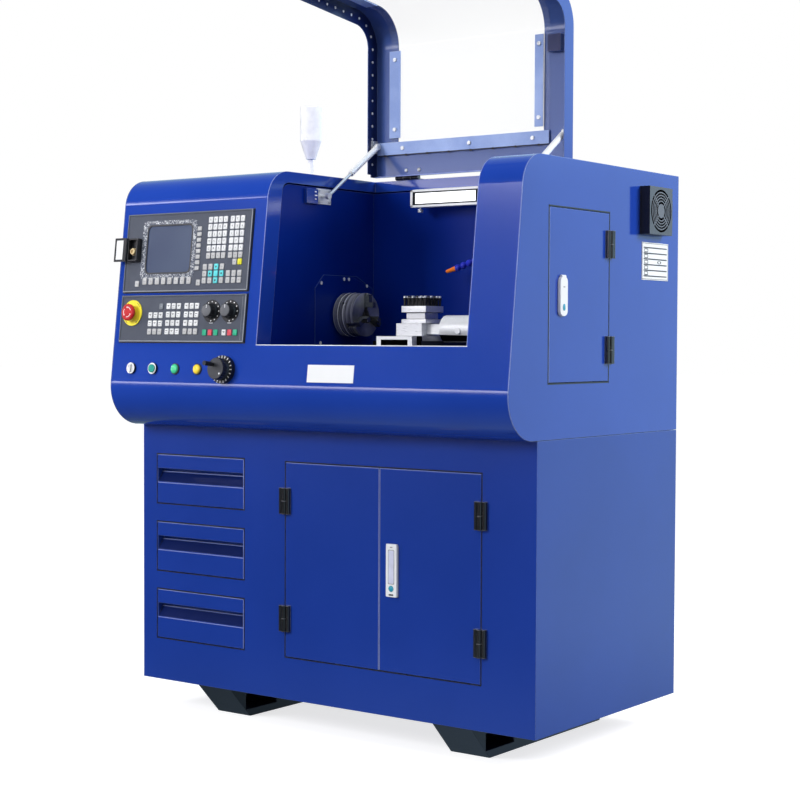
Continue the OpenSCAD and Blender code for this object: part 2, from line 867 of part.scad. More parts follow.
module lathe_bed() {
    channel = [axis_yy - bed_channel / 2, axis_yy + bed_channel / 2];
    open = [win_x0 - 10, bed_x[1] - channel_wall];
    color(IRON) difference() {
        union() {
            block(bed_x, bed_y, [deck_z, bed_top]);
            translate([bed_x[1], axis_yy, screw_z])
                to_x() cylinder(r = z_boss_r, h = win_x1 + sheet + motor_gap - bed_x[1]);
        }
        block(open, channel, [bed_top - channel_deep, bed_top + 1]);
        translate([open[0] - channel_wall, axis_yy, screw_z])
            to_x() cylinder(r = journal_r + run, h = bed_x[1] - open[0] + 60);
    }
}

head_x = [bed_x[0] + 40, win_x0 - 28];

module headstock() {
    color(IRON) difference() {
        union() {
            block(head_x, bed_y, [bed_top, head_top]);
            translate([head_x[1], axis_yy, axis_z]) to_x() cylinder(r = boss_r, h = win_x0 - head_x[1]);
        }
        translate([head_x[0] - 1, axis_yy, axis_z])
            to_x() cylinder(r = spindle_r + run, h = win_x0 - head_x[0] + 2);
    }
}

z_motor_x = win_x1 + sheet + motor_gap;

module servo_motors() {
    main_len = 150;
    z_len = 90;
    color(BLACK) union() {
        difference() {
            block([head_x[0] - main_len, head_x[0]], [axis_yy - motor_w / 2, axis_yy + motor_w / 2],
                  [axis_z - motor_w / 2, axis_z + motor_w / 2]);
            translate([head_x[0] - 60, axis_yy, axis_z]) to_x() cylinder(r = tail_r + run, h = 61);
            translate([head_x[0] - main_len - 1, axis_yy, axis_z])
                to_x() cylinder(d = chuck_bore + 4, h = main_len);
        }
        difference() {
            block([z_motor_x, z_motor_x + z_len], [axis_yy - z_motor_w / 2, axis_yy + z_motor_w / 2],
                  [screw_z - z_motor_w / 2, screw_z + z_motor_w / 2]);
            translate([z_motor_x - 1, axis_yy, screw_z])
                to_x() cylinder(r = journal_r + run, h = 41);
        }
    }
}

chuck_x = win_x0 + chuck_in;

tail_x = head_x[0] - 58;

module spindle() {
    color(SILVER) difference() {
        translate([0, axis_yy, axis_z]) union() {
            translate([head_x[0], 0, 0]) to_x() cylinder(r = spindle_r, h = chuck_x - head_x[0]);
            translate([tail_x, 0, 0]) to_x() cylinder(r = tail_r, h = head_x[0] - tail_x + 1);
        }
        translate([tail_x - 1, axis_yy, axis_z]) to_x() cylinder(d = chuck_bore, h = 500);
    }
}

slot_deep = 25;
jaw_in = chuck_bore / 2 + 5;
jaw_long = 32;

// Turns children to each of the three jaw positions about the spindle axis
module at_jaw(k) {
    translate([chuck_x, axis_yy, axis_z]) rotate([120 * (k - 1), 0, 0]) children();
}

module chuck_body() {
    r = chuck_d / 2;
    groove_x = 15;
    color(IRON) difference() {
        translate([chuck_x, axis_yy, axis_z]) union() {
            to_x() cylinder(r = r, h = groove_x);
            to_x() cylinder(r = r - 2.5, h = chuck_len);
            translate([groove_x + 4, 0, 0]) to_x() cylinder(r = r, h = chuck_len - groove_x - 4);
        }
        translate([chuck_x - 1, axis_yy, axis_z]) to_x() cylinder(d = chuck_bore, h = chuck_len + 2);
        for (k = [1:3]) {
            at_jaw(k) block([chuck_len - slot_deep, chuck_len + 1],
                            [-jaw_w / 2 - slip, jaw_w / 2 + slip], [0, r + 1]);
            at_jaw(k + 0.5) translate([groove_x + 14, 0, r - 14]) cylinder(d = 9, h = 15);
        }
    }
}

module jaw(k) {
    x0 = chuck_len - slot_deep + slip;
    x1 = chuck_len + jaw_out;
    color(SILVER) at_jaw(k) along_jaw() polygon([
        [x0, jaw_in], [x1, jaw_in], [x1, jaw_in + jaw_long * 0.4],
        [x1 - jaw_out * 0.45, jaw_in + jaw_long * 0.4], [x1 - jaw_out * 0.45, jaw_in + jaw_long],
        [x0, jaw_in + jaw_long]
    ]);
}

// Extrudes an (x, z) outline to the width of a jaw
module along_jaw() {
    translate([0, jaw_w / 2, 0]) rotate([90, 0, 0]) linear_extrude(jaw_w) children();
}

module jaw_1() { jaw(1); }
module jaw_2() { jaw(2); }
module jaw_3() { jaw(3); }

module z_screw() {
    x0 = win_x0 - 10 + slip;
    x1 = bed_x[1] - channel_wall - slip;
    color(SILVER) translate([0, axis_yy, screw_z]) union() {
        translate([x0, 0, 0]) to_x() cylinder(r = screw_r, h = x1 - x0);
        translate([x0 - channel_wall + 1, 0, 0])
            to_x() cylinder(r = journal_r, h = z_motor_x + 38 - x0 + channel_wall - 1);
    }
}

saddle_x = [post_cx - 86, post_cx + 74];
saddle_y = [front_y + 60, front_y + 330];
saddle_z = [bed_top + slip, bed_top + 39];
guide_w = 12;
guide_h = 10;
guide_x = [post_cx - 76, post_cx + 54];

module carriage() {
    nut = [post_cx - 40, post_cx + 20];
    frame_x = [post_cx - 52, post_cx + 52];
    frame_y = [saddle_y[0] - 18, saddle_y[0]];
    frame_z = [saddle_z[0], saddle_z[1] + 21];
    leg = 13;
    color(SILVER) difference() {
        union() {
            block(saddle_x, saddle_y, saddle_z);
            for (x = guide_x) block([x, x + guide_w], saddle_y, [saddle_z[1], saddle_z[1] + guide_h]);
            block(nut, [axis_yy - 23, axis_yy + 23], [screw_z - 20, saddle_z[0] + 1]);
            difference() {
                block(frame_x, frame_y, frame_z);
                block([frame_x[0] + leg, frame_x[1] - leg], [frame_y[0] - 1, frame_y[1] + 1],
                      [saddle_z[0] + 8, frame_z[1] - 8]);
            }
        }
        translate([nut[0] - 1, axis_yy, screw_z])
            to_x() cylinder(r = screw_r + run, h = nut[1] - nut[0] + 2);
    }
}

table_z = [saddle_z[1] + slip, saddle_z[1] + 22];
base_top = table_z[1] + 30;
pivot_r = 12;
head_h = 72;

module cross_slide() {
    table_x = [guide_x[0] + guide_w + slip, guide_x[1] - slip];
    half = post_w / 2;
    motor_z = base_top - 14;
    motor_x = post_cx + half + 36;
    color(SILVER) union() {
        block(table_x, [post_cy - 75, post_cy + 125], table_z);
        block([post_cx - half - 15, post_cx + half - 12], [post_cy - half, post_cy + half],
              [table_z[1], base_top]);
        translate([post_cx, post_cy, base_top]) cylinder(r = pivot_r, h = 44);
        block([post_cx + half - 12, motor_x], [post_cy - 16, post_cy + 18], [motor_z - 12, motor_z + 12]);
        translate([motor_x, post_cy, motor_z])
            to_x() cylinder(d = post_motor_d, h = post_motor_len);
        translate([motor_x + 54, post_cy, motor_z - 4]) rotate([90, 0, 0])
            cylinder(r = 7, h = post_motor_d / 2 + 2);
    }
}

module turret_head() {
    half = post_w / 2;
    plate = 9;
    slot = 17;
    slot_in = 9;
    upper = 16;
    z0 = base_top + slip;
    bolts = 3;
    color(SILVER) difference() {
        translate([post_cx, post_cy, z0]) union() {
            block([-half, half], [-half, half], [0, plate]);
            block([-half + slot_in, half - slot_in], [-half + slot_in, half - slot_in],
                  [0, head_h - 6]);
            block([-half, half], [-half, half], [plate + slot, head_h - 6]);
            // Clamping bolts round the edge
            for (side = [0:3], b = [0:bolts - 1])
                rotate([0, 0, 90 * side])
                    translate([-half + 6 + b * (post_w - 12) / bolts, -half + 6, head_h - 7])
                        cylinder(d = 8.5, h = 9);
        }
        translate([post_cx, post_cy, z0 - 1]) cylinder(r = pivot_r + run, h = 45 + slip);
    }
}

// ---------------------------------------------------------------- control panels

screen_mid = panel_x + screen_x;

module panel_plate(s, h) {
    rim = 4;
    seal = 0.02;
    on_fascia(panel_x, s) difference() {
        union() {
            translate([0, -h / 2, seal]) cube([panel_w, h, panel_t - seal]);
            translate([cut_in + 1, -h / 2 + cut_in + 1, -40])
                cube([panel_w - 2 * cut_in - 2, h - 2 * cut_in - 2, 41]);
        }
        // Shallow field inside the raised rim
        translate([rim, -h / 2 + rim, panel_t - 1]) cube([panel_w - 2 * rim, h - 2 * rim, 2]);
    }
}

module control_panels() {
    color(DARK) {
        difference() {
            panel_plate(hmi_s, hmi_h);
            on_fascia(screen_mid, hmi_s + screen_up, panel_t - 4)
                translate([-screen_w / 2 - slip, -screen_h / 2 - slip, 0])
                    cube([screen_w + 2 * slip, screen_h + 2 * slip, 10]);
        }
        difference() {
            panel_plate(op_s, op_h);
            on_fascia(panel_x + estop_x, estop_s, field - 8) cylinder(r = stem_r + slip, h = 9);
        }
    }
}

module screen() {
    color([0.30, 0.34, 0.42]) on_fascia(screen_mid, hmi_s + screen_up, panel_t - 4)
        translate([-screen_w / 2, -screen_h / 2, 0]) cube([screen_w, screen_h, 2]);
}

// A block of keys, n across and m down, centred on (x, up) from the panel's left edge and centre
module key_block(s, x, up, n, m, px, py, size = [key_w, key_h]) {
    for (i = [0:n - 1], j = [0:m - 1])
        on_fascia(panel_x + x + (i - (n - 1) / 2) * px, s + up + ((m - 1) / 2 - j) * py, panel_t - 1)
            translate([-size[0] / 2, -size[1] / 2, 0]) cube([size[0], size[1], key_out + 1]);
}

module panel_keys() {
    color(WHITE) {
        // Display panel: letter and number keys, cursor keys
        key_block(hmi_s, letters_x, 32, 4, 6, 16.3, 17.7);
        key_block(hmi_s, numbers_x, 32, 3, 6, 16.3, 17.7);
        key_block(hmi_s, numbers_x + 8, -29, 2, 1, 16.3, 17.7);
        key_block(hmi_s, letters_x - 4.5, -56.5, 4, 3, 18.7, 16.7);
        key_block(hmi_s, numbers_x, -65, 3, 2, 18.2, 16.7);
        // Keys round the screen
        key_block(hmi_s, screen_x + 1.5, -72, 8, 1, 21.6, 16.7, [key_w + 1, key_h + 2.5]);
        key_block(hmi_s, screen_x + 101, 7, 1, 8, 16.3, 14, [key_w + 1, key_h - 4.5]);
        key_block(hmi_s, screen_x + 4.5, -78, 2, 1, 209, 16.7);
        // Operator panel: three blocks of machine keys and the keys below the knobs
        key_block(op_s, estop_x + 81, -12.5, 3, 3, 17.5, 20.5);
        key_block(op_s, estop_x + 98.5, 30, 1, 1, 17.5, 20.5);
        key_block(op_s, estop_x + 141, -1, 3, 4, 17.5, 21);
        key_block(op_s, estop_x + 202, -1, 3, 4, 17.5, 21);
        key_block(op_s, knob_x, -35, 3, 1, 18.5, 20);
        key_block(op_s, numbers_x + 1, -35, 3, 1, 18, 20);
    }
}

estop_s = op_s + 14;
knob_s = op_s + knob_up;
field = panel_t - 1;
stem_r = 11;
wheel_stem_r = 6;

module panel_rings() {
    color([0.95, 0.80, 0.05]) {
        on_fascia(panel_x + estop_x, estop_s, field) difference() {
            union() {
                cylinder(d = estop_ring_d, h = 2.5);
                cylinder(r = stem_r + 3, h = 4.5);
            }
            translate([0, 0, -1]) cylinder(r = stem_r + run, h = 12);
        }
    }
    color(SILVER) {
        for (b = [0:1])
            on_fascia(panel_x + button_x + b * button_pitch, button_s) difference() {
                cylinder(d = button_d, h = 6);
                translate([0, 0, 1]) cylinder(d = button_d - 8, h = 6);
            }
    }
    color(BLACK) {
        on_fascia(panel_x + wheel_x, button_s) union() {
            cylinder(d = wheel_dial_d, h = dial_h);
            cylinder(r = wheel_stem_r, h = dial_h + 10);
        }
        for (k = [0:1])
            on_fascia(panel_x + knob_x + k * knob_pitch, knob_s, field) union() {
                cylinder(d = knob_d + 22, h = 1);
                cylinder(r = 4, h = 12);
            }
    }
}

module pilot_lamps() {
    for (b = [2:3])
        color(b == 2 ? [0.2, 0.75, 0.45] : [0.95, 0.75, 0.1])
            on_fascia(panel_x + button_x + b * button_pitch, button_s) union() {
                cylinder(d = button_d, h = 3);
                cylinder(d = button_d - 5, h = 8);
            }
}

module estop_mushroom() {
    color([0.8, 0.05, 0.08]) on_fascia(panel_x + estop_x, estop_s, field) union() {
        cylinder(r = stem_r, h = estop_out - 2);
        translate([0, 0, estop_out - 12]) cylinder(d1 = estop_d - 8, d2 = estop_d, h = 5);
        translate([0, 0, estop_out - 7]) cylinder(d = estop_d, h = 5);
        translate([0, 0, estop_out - 2]) cylinder(d1 = estop_d, d2 = estop_d - 6, h = 2);
    }
}

module override_knob(k) {
    color(BLACK) on_fascia(panel_x + knob_x + k * knob_pitch, knob_s, field + 1 + slip) difference() {
        union() {
            cylinder(d = knob_d, h = knob_out - 2);
            cylinder(d1 = knob_d + 4, d2 = knob_d, h = 5);
            translate([-2, knob_d / 2 - 6, knob_out - 3]) cube([4, 5, 2]);
        }
        translate([0, 0, -1]) cylinder(r = 4 + run, h = 12.5);
    }
}

module feed_knob() { override_knob(0); }
module speed_knob() { override_knob(1); }

module selector_switch() {
    r = button_d / 2 - 4 - run;
    color(SILVER) on_fascia(panel_x + button_x, button_s, 1 + slip) union() {
        cylinder(r = r, h = 5);
        translate([-3, -r + 1, 4]) cube([6, 2 * r - 2, 6]);
    }
}

module start_button() {
    color([0.1, 0.7, 0.55]) on_fascia(panel_x + button_x + button_pitch, button_s, 4.6)
        cylinder(r = button_d / 2 - 4 - run, h = 4.4);
}

module handwheel() {
    color(DARK) on_fascia(panel_x + wheel_x, button_s, dial_h + slip) difference() {
        union() {
            cylinder(d1 = wheel_d + 4, d2 = wheel_d, h = 6);
            cylinder(d = wheel_d, h = wheel_face);
            translate([-grip_side, grip_up, wheel_face - 1]) cylinder(r = 2.5, h = grip_len - 1);
        }
        translate([0, 0, -1]) cylinder(r = wheel_stem_r + run, h = 11);
    }
}

module crank_grip() {
    color(BLACK) on_fascia(panel_x + wheel_x, button_s, dial_h + slip)
        translate([-grip_side, grip_up, wheel_face + slip]) difference() {
            union() {
                cylinder(r1 = grip_r - 1.5, r2 = grip_r, h = 8);
                translate([0, 0, 8]) cylinder(r = grip_r, h = grip_len - 8);
            }
            translate([0, 0, -1]) cylinder(r = 2.5 + run, h = grip_len);
        }
}

port_x = left_x + port_left;
port_face = field + port_out;
flap_axis = [port_x - flap_axis_in, port_face + slip + flap_t / 2];
ear_t = 4;
flap_pin_r = 1.2;

module port_box() {
    wall = 4;
    color(BLACK) on_fascia(0, port_s) union() {
        difference() {
            translate([port_x, -port_h / 2, field]) cube([port_w, port_h, port_out]);
            translate([port_x + wall, -port_h / 2 + wall, field + 4])
                cube([port_w - 2 * wall, port_h - 2 * wall, port_out]);
        }
        // Round socket and its shell inside the box
        translate([port_x + port_w / 2, -4, field + 3]) difference() {
            cylinder(r = 9, h = 5);
            translate([0, 0, 2]) cylinder(r = 6.5, h = 4);
        }
        // Ears and pin of the flap's hinge
        for (y = [-port_h / 2, port_h / 2 - ear_t])
            translate([port_x - flap_axis_in - 3, y, port_face - 8])
                cube([flap_axis_in + 3 + 2, ear_t, 8]);
        for (y = [-port_h / 2, port_h / 2 - ear_t])
            translate([flap_axis[0], y + ear_t, flap_axis[1]]) rotate([90, 0, 0])
                cylinder(r = 2.8, h = ear_t);
        translate([flap_axis[0], port_h / 2, flap_axis[1]]) rotate([90, 0, 0])
            cylinder(r = flap_pin_r, h = port_h);
    }
}

module port_flap() {
    span = port_h - 2 * ear_t - 2 * slip;
    color(BLACK) on_fascia(0, port_s) translate([flap_axis[0], 0, flap_axis[1]]) difference() {
        union() {
            translate([-flap_w, -port_h / 2 - 1, -flap_t / 2]) cube([flap_w - 3 - slip, port_h + 2, flap_t]);
            translate([-4, -span / 2, -flap_t / 2]) cube([4, span, flap_t]);
            translate([0, span / 2, 0]) rotate([90, 0, 0]) cylinder(r = 2.4, h = span);
        }
        translate([0, span / 2 + 1, 0]) rotate([90, 0, 0]) cylinder(r = flap_pin_r + run, h = span + 2);
        // Shallow label field inside the flap
        translate([-flap_w + 5, -port_h / 2 + 4, 0.5]) cube([flap_w - 14, port_h - 8, flap_t]);
    }
}

// ---------------------------------------------------------------- fittings

module plates() {
    color(WHITE) {
        on_fascia(win_x0 + 164, 121) cube([136, 41, 1.2]);
        block([right_x, right_x + 1.2], [front_y + chart_y, front_y + chart_y + chart_w],
              [top_z - chart_down - chart_h, top_z - chart_down]);
    }
}

module fan_housing() {
    hub_r = 17;
    rings = 4;
    rib = 3;
    grille = 3;
    pitch = (fan_bore_r - hub_r) / (rings + 1);
    color(DARK) translate([right_x, fan_cy, fan_cz]) union() {
        difference() {
            block([0, fan_out], [-fan_w / 2, fan_w / 2], [-fan_w / 2, fan_w / 2]);
            translate([-1, 0, 0]) to_x() cylinder(r = fan_bore_r, h = fan_out + 2);
        }
        translate([fan_out - grille, 0, 0]) {
            to_x() cylinder(r = hub_r, h = grille);
            for (i = [1:rings])
                to_x() difference() {
                    cylinder(r = hub_r + i * pitch + rib / 2, h = grille);
                    translate([0, 0, -1]) cylinder(r = hub_r + i * pitch - rib / 2, h = grille + 2);
                }
            for (a = [0:3])
                rotate([45 + 90 * a, 0, 0])
                    block([0, grille], [hub_r - 2, fan_bore_r + 1], [-rib / 2, rib / 2]);
        }
        // Motor shaft of the fan
        translate([6, 0, 0]) to_x() cylinder(r = 3, h = fan_out - 7);
    }
}

module fan_rotor() {
    blades = 5;
    color(BLACK) translate([right_x + 4, fan_cy, fan_cz]) difference() {
        union() {
            to_x() cylinder(r = 16, h = 15);
            for (a = [0:blades - 1])
                rotate([a * 360 / blades, 0, 0]) translate([7, 14, 0]) rotate([0, 35, 0])
                    block([-1, 1], [0, fan_bore_r - 17], [-10, 10]);
        }
        translate([1, 0, 0]) to_x() cylinder(r = 3 + run, h = 30);
    }
}

lamp_x = [win_x0 + 158, win_x0 + 158 + lamp_len];
lamp_t = 28;
lamp_y = back_wall_y - 42;
lamp_z = liner_top_z - 23;
ear_w = 3;
tap = [win_x0 + 403, back_wall_y - 26, deck_z + 461];
tap_pin_r = 5;

// A strut's wall plate with its stud, on a wall facing +X at x = 0
module strut_wall_bracket() {
    plate_t = 3;
    block([0, plate_t], [front_y + strut_y - 19, front_y + strut_y + 36],
          [top_z - strut_down - 19, top_z - strut_down + 19]);
    translate([plate_t - 1, front_y + strut_y, top_z - strut_down])
        to_x() cylinder(r = stud_r, h = strut_in - strut_eye / 2 - strut_open - plate_t + 1);
}

module chamber_brackets() {
    color(SILVER) {
        translate([win_x0, 0, 0]) strut_wall_bracket();
        translate([win_x1, 0, 0]) mirror([1, 0, 0]) strut_wall_bracket();
        // Switch that the lid's left edge passes
        block([win_x0, win_x0 + lid_gap - 1], [front_y + strut_y - 64, front_y + strut_y - 21],
              [top_z - strut_down - 20, top_z - strut_down + 16]);
        // Ears of the work lamp
        for (x = [lamp_x[0] - slip - ear_w, lamp_x[1] + slip])
            difference() {
                union() {
                    block([x, x + ear_w], [lamp_y, back_wall_y], [lamp_z - 9, lamp_z + 9]);
                    translate([x, lamp_y, lamp_z]) to_x() cylinder(r = 9, h = ear_w);
                }
                translate([x - 1, lamp_y, lamp_z]) to_x() cylinder(r = 4 + run, h = ear_w + 2);
            }
        // Tap of the coolant nozzle
        block([tap[0] - 14, tap[0] + 14], [tap[1] - 2, back_wall_y], [tap[2] - 12, tap[2] + 12]);
        translate([tap[0], tap[1] - 2, tap[2] - 12]) cylinder(r = 12, h = 24);
        translate([tap[0], tap[1] - 2, tap[2] - 26]) cylinder(r = tap_pin_r, h = 15);
    }
}

module work_lamp() {
    wall = 3;
    color(SILVER) union() {
        difference() {
            block(lamp_x, [lamp_y - lamp_t / 2, lamp_y + lamp_t / 2],
                  [lamp_z - lamp_h / 2, lamp_z + lamp_h / 2]);
            block([lamp_x[0] + wall, lamp_x[1] - wall],
                  [lamp_y - lamp_t / 2 - 1, lamp_y - lamp_t / 2 + 5],
                  [lamp_z - lamp_h / 2 + wall, lamp_z + lamp_h / 2 - wall]);
        }
        // Clear cover over the light strip
        block([lamp_x[0] + 14, lamp_x[1] - 14], [lamp_y - lamp_t / 2 + 1, lamp_y - lamp_t / 2 + 6],
              [lamp_z - lamp_h / 2 + 9, lamp_z + lamp_h / 2 - 9]);
        for (x = [lamp_x[0] - slip - ear_w - 1, lamp_x[1] - 1])
            translate([x, lamp_y, lamp_z]) to_x() cylinder(r = 4, h = ear_w + slip + 2);
    }
}

module coolant_nozzle() {
    beads = 7;
    step = [-15, -3, -5.5];
    bead_r = 8.5;
    start = [tap[0], tap[1] - 2, tap[2] - 12 - slip];
    tip = start + beads * step + [0, 0, -12];
    color([0.10, 0.25, 0.80]) {
        difference() {
            translate(start + [0, 0, -20]) cylinder(r = 10, h = 20);
            translate(start + [0, 0, -15]) cylinder(r = tap_pin_r + run, h = 16);
        }
        for (b = [1:beads]) translate(start + [0, 0, -12] + b * step) sphere(bead_r);
        translate(tip) rotate([0, -105, 0]) cylinder(r1 = 7, r2 = 4, h = 34);
    }
}

module signal_lamp() {
    cone = 50;
    color(WHITE) translate([left_x + signal_x, front_y + signal_y, top_z]) union() {
        cylinder(r = 22, h = 6);
        cylinder(r = 7, h = pole_h + 1);
        translate([0, 0, pole_h]) cylinder(d1 = 26, d2 = signal_d, h = cone);
        translate([0, 0, pole_h + cone]) cylinder(d = signal_d, h = signal_h);
    }
}

module coolant_tank() {
    x = [doors_x[0] + 60, doors_x[1] - 60];
    y = [front_y + 120, back_y - 90];
    z = [base_z + sheet, base_z + sheet + tank_h];
    wall = 3;
    color(SILVER) union() {
        difference() {
            block(x, y, z);
            block([x[0] + wall, x[1] - wall], [y[0] + wall, y[1] - wall], [z[0] + wall, z[1] - wall]);
            translate([x[0] + 90, y[1] - 90, z[1] - wall - 1]) cylinder(r = 45, h = wall + 2);
        }
        // Pump: flange, motor and intake
        translate([x[0] + 90, y[1] - 90, z[1]]) cylinder(r = 60, h = 8);
        translate([x[0] + 90, y[1] - 90, z[1] + 8]) cylinder(r = 48, h = 150);
        translate([x[0] + 90, y[1] - 90, z[0] + 30]) cylinder(r = 35, h = z[1] - z[0] - 29);
    }
}

module drive_rack() {
    plate_y = [back_wall_y + sheet, back_wall_y + sheet + 3];
    x0 = win_x0 + 120;
    z0 = deck_z + 120;
    color(SILVER) union() {
        block([x0, x0 + 420], plate_y, [z0, z0 + 380]);
        for (i = [0:2])
            block([x0 + 30 + i * 80, x0 + 90 + i * 80], [plate_y[1], plate_y[1] + 150],
                  [z0 + 160, z0 + 340]);
        block([x0 + 290, x0 + 390], [plate_y[1], plate_y[1] + 90], [z0 + 160, z0 + 340]);
        block([x0 + 30, x0 + 390], [plate_y[1], plate_y[1] + 40], [z0 + 50, z0 + 90]);
    }
}

// ---------------------------------------------------------------- lid

lid_x = [win_x0 + lid_gap, win_x1 - lid_gap];
lid_axis = [win_back_y, top_z + lid_axis_up];
lid_back_y = win_back_y - lid_back_gap;
lid_hinge_w = 72;
lid_hinge_x = [win_x0 + 68, win_x1 - 68 - lid_hinge_w];
lid_barrel_r = 5.5;
sill_gap = 3;

// Turns the closed lid up to where it stands
module lid_opened() {
    translate([0, lid_axis[0], lid_axis[1]]) rotate([-lid_open, 0, 0])
        translate([0, -lid_axis[0], -lid_axis[1]]) children();
}

// A strip of the lid's sheet, between depths d0 and d1, along the whole lid
module lid_band(d0, d1) {
    intersection() {
        difference() {
            profile(d0, lid_bend);
            if (d1 < 60) profile(d1, lid_bend);
        }
        window_region(lid_back_gap, sill_gap);
    }
}

// Part of a band from a to b up the fascia
module fascia_span(a, b) {
    translate([fascia_y(a, 0), fascia_z(a, 0)]) rotate([0, 0, -slant]) translate([-80, 0])
        square([160, b - a]);
}

lid_win_x = [lid_x[0] + lid_rim, lid_x[1] - lid_rim - 10];
rim_s = sill + sill_gap + lid_end;

module lid_hole_region() {
    difference() {
        translate([front_y - 300, enc_z]) square([lid_back_y - lid_end - front_y + 300, enc_h + 50]);
        fascia_span(sill - 200, rim_s);
    }
}

module lid_frame() {
    front_lip = 22;
    rear_lip = 12;
    color(BLUE) lid_opened() difference() {
        union() {
            difference() {
                along_x(lid_x) lid_band(0, sheet);
                along_x(lid_win_x) intersection() {
                    lid_band(-1, sheet + 1);
                    lid_hole_region();
                }
            }
            for (x = [lid_x[0], lid_x[1] - sheet]) along_x([x, x + sheet]) lid_band(0, lid_flange);
            block(lid_x, [lid_back_y - sheet, lid_back_y], [top_z - rear_lip, top_z]);
            on_fascia(lid_x[0], sill + sill_gap, -front_lip)
                cube([lid_x[1] - lid_x[0], sheet, front_lip]);
            for (x = lid_hinge_x) lid_hinge_moving(x);
        }
        for (x = lid_hinge_x)
            translate([x - 1, lid_axis[0], lid_axis[1]])
                to_x() cylinder(d = hinge_pin + 2 * run, h = lid_hinge_w + 2);
        // Relief over the chamber's back wall
        block([lid_x[0] - 1, lid_x[1] + 1], [back_wall_y - 4, lid_back_y + 1],
              [top_z - lid_flange - 1, liner_top_z + 4]);
    }
}

// Middle knuckle and leaf, on the shut lid
module lid_hinge_moving(x) {
    third = lid_hinge_w / 3;
    block([x, x + lid_hinge_w], [lid_back_y - 34, lid_back_y - lid_barrel_r],
          [top_z - 0.5, top_z + leaf_t]);
    block([x + third + slip, x + 2 * third - slip], [lid_back_y - lid_barrel_r - 1, lid_axis[0]],
          [top_z + 0.5, top_z + leaf_t + 0.5]);
    translate([x + third + slip, lid_axis[0], lid_axis[1]])
        to_x() cylinder(r = lid_barrel_r, h = third - 2 * slip);
}

// Outer knuckles, leaf and pin, on the roof
module lid_hinge_fixed(x) {
    third = lid_hinge_w / 3;
    clear = lid_barrel_r + 1;
    union() {
        block([x, x + lid_hinge_w], [lid_axis[0] + clear, lid_axis[0] + 32], [top_z, top_z + leaf_t]);
        for (k = [0, 2]) {
            block([x + k * third, x + (k + 1) * third], [lid_axis[0], lid_axis[0] + clear + 1],
                  [top_z + 0.5, top_z + leaf_t]);
            translate([x + k * third, lid_axis[0], lid_axis[1]]) to_x() cylinder(r = lid_barrel_r, h = third);
        }
        translate([x, lid_axis[0], lid_axis[1]]) to_x() cylinder(d = hinge_pin, h = lid_hinge_w);
    }
}

module lid_pane() {
    x = [lid_win_x[0] - pane_lap, lid_win_x[1] + pane_lap];
    y1 = lid_back_y - lid_end + 1;
    color([0.85, 0.9, 0.95, 0.35]) lid_opened() along_x(x) intersection() {
        lid_band(sheet, sheet + pane_t);
        difference() {
            translate([front_y - 300, enc_z]) square([y1 - front_y + 300, enc_h + 50]);
            fascia_span(sill - 200, rim_s - pane_lap);
        }
    }
}

strut_open = 0.5;
stud_r = 4;
lid_strut = [lid_axis[0] - strut_lid, lid_axis[1] - strut_deep];

module lid_fittings() {
    d = sheet + pane_t;
    strip_t = 2;
    top_span = [top_bend_y + 8, lid_back_y - lid_end - 40];
    left_x0 = lid_win_x[0] - pane_lap - 6;
    strips = [[left_x0, left_x0 + strip_w], [lid_win_x[1] + 1 - strip_right_w, lid_win_x[1] + 1]];
    slant_span = [rim_s + 18, slant_end - 10];
    color(BLUE) lid_opened() union() {
        // Retaining strips beside the pane, on the flat and on the slanted part
        for (x = strips) {
            block(x, top_span, [top_z - d - strip_t, top_z - d]);
            for (y = [top_span[0] + 22, top_span[1] - 22])
                translate([(x[0] + x[1]) / 2, y, top_z - d - strip_t - 2.5]) cylinder(r = 5, h = 3);
            along_x(x) intersection() {
                lid_band(d, d + strip_t);
                fascia_span(slant_span[0], slant_span[1]);
            }
        }
        // Retaining strips at the hinge end and at the front end
        block([lid_x[0] + 8, lid_x[1] - 62], [lid_back_y - lid_end - 30, lid_back_y - lid_end + 2],
              [top_z - d - strip_t, top_z - d]);
        for (x = [lid_x[0] + 88, (lid_x[0] + lid_x[1]) / 2, lid_x[1] - 108])
            translate([x, lid_back_y - lid_end - 14, top_z - d - strip_t - 2.5]) cylinder(r = 5, h = 3);
        along_x([lid_x[0] + 62, lid_x[1] - 62]) intersection() {
            lid_band(d, d + strip_t);
            fascia_span(rim_s - pane_lap, rim_s - pane_lap + strip_w);
        }
        // Strut studs on the side flanges
        translate([lid_x[0] + sheet, 0, 0]) lid_stud();
        translate([lid_x[1] - sheet, 0, 0]) mirror([1, 0, 0]) lid_stud();
        // Safety switch key near the bend
        block([lid_x[1] - 60, lid_x[1] - 24], [top_bend_y + 14, top_bend_y + 54],
              [top_z - 20, top_z - sheet]);
    }
}

top_bend_y = slant_y(top_z - lid_bend, lid_bend);
slant_end = (top_z - lid_bend - enc_z) / cos_s;

// Plate and stud for a strut on the lid's flange, on a wall facing +X at x = 0
module lid_stud() {
    block([0, 3], [lid_strut[0] - 16, lid_strut[0] + 16], [lid_strut[1] - 12, lid_strut[1] + 14]);
    translate([1, lid_strut[0], lid_strut[1]])
        to_x() cylinder(r = stud_r, h = strut_in - lid_gap - sheet + strut_eye / 2);
}

strut_eye = 8;
strut_wall = [front_y + strut_y, top_z - strut_down];
lid_up = [
    lid_axis[0] + (lid_strut[1] - lid_axis[1]),
    lid_axis[1] - (lid_strut[0] - lid_axis[0])
];
strut_len = norm(lid_up - strut_wall);
strut_angle = atan2(lid_up[1] - strut_wall[1], lid_up[0] - strut_wall[0]);

// Local +X runs along a strut from its wall pivot to its lid pivot
module on_strut(x) {
    translate([x, strut_wall[0], strut_wall[1]]) rotate([strut_angle, 0, 0]) rotate([0, 0, 90])
        children();
}

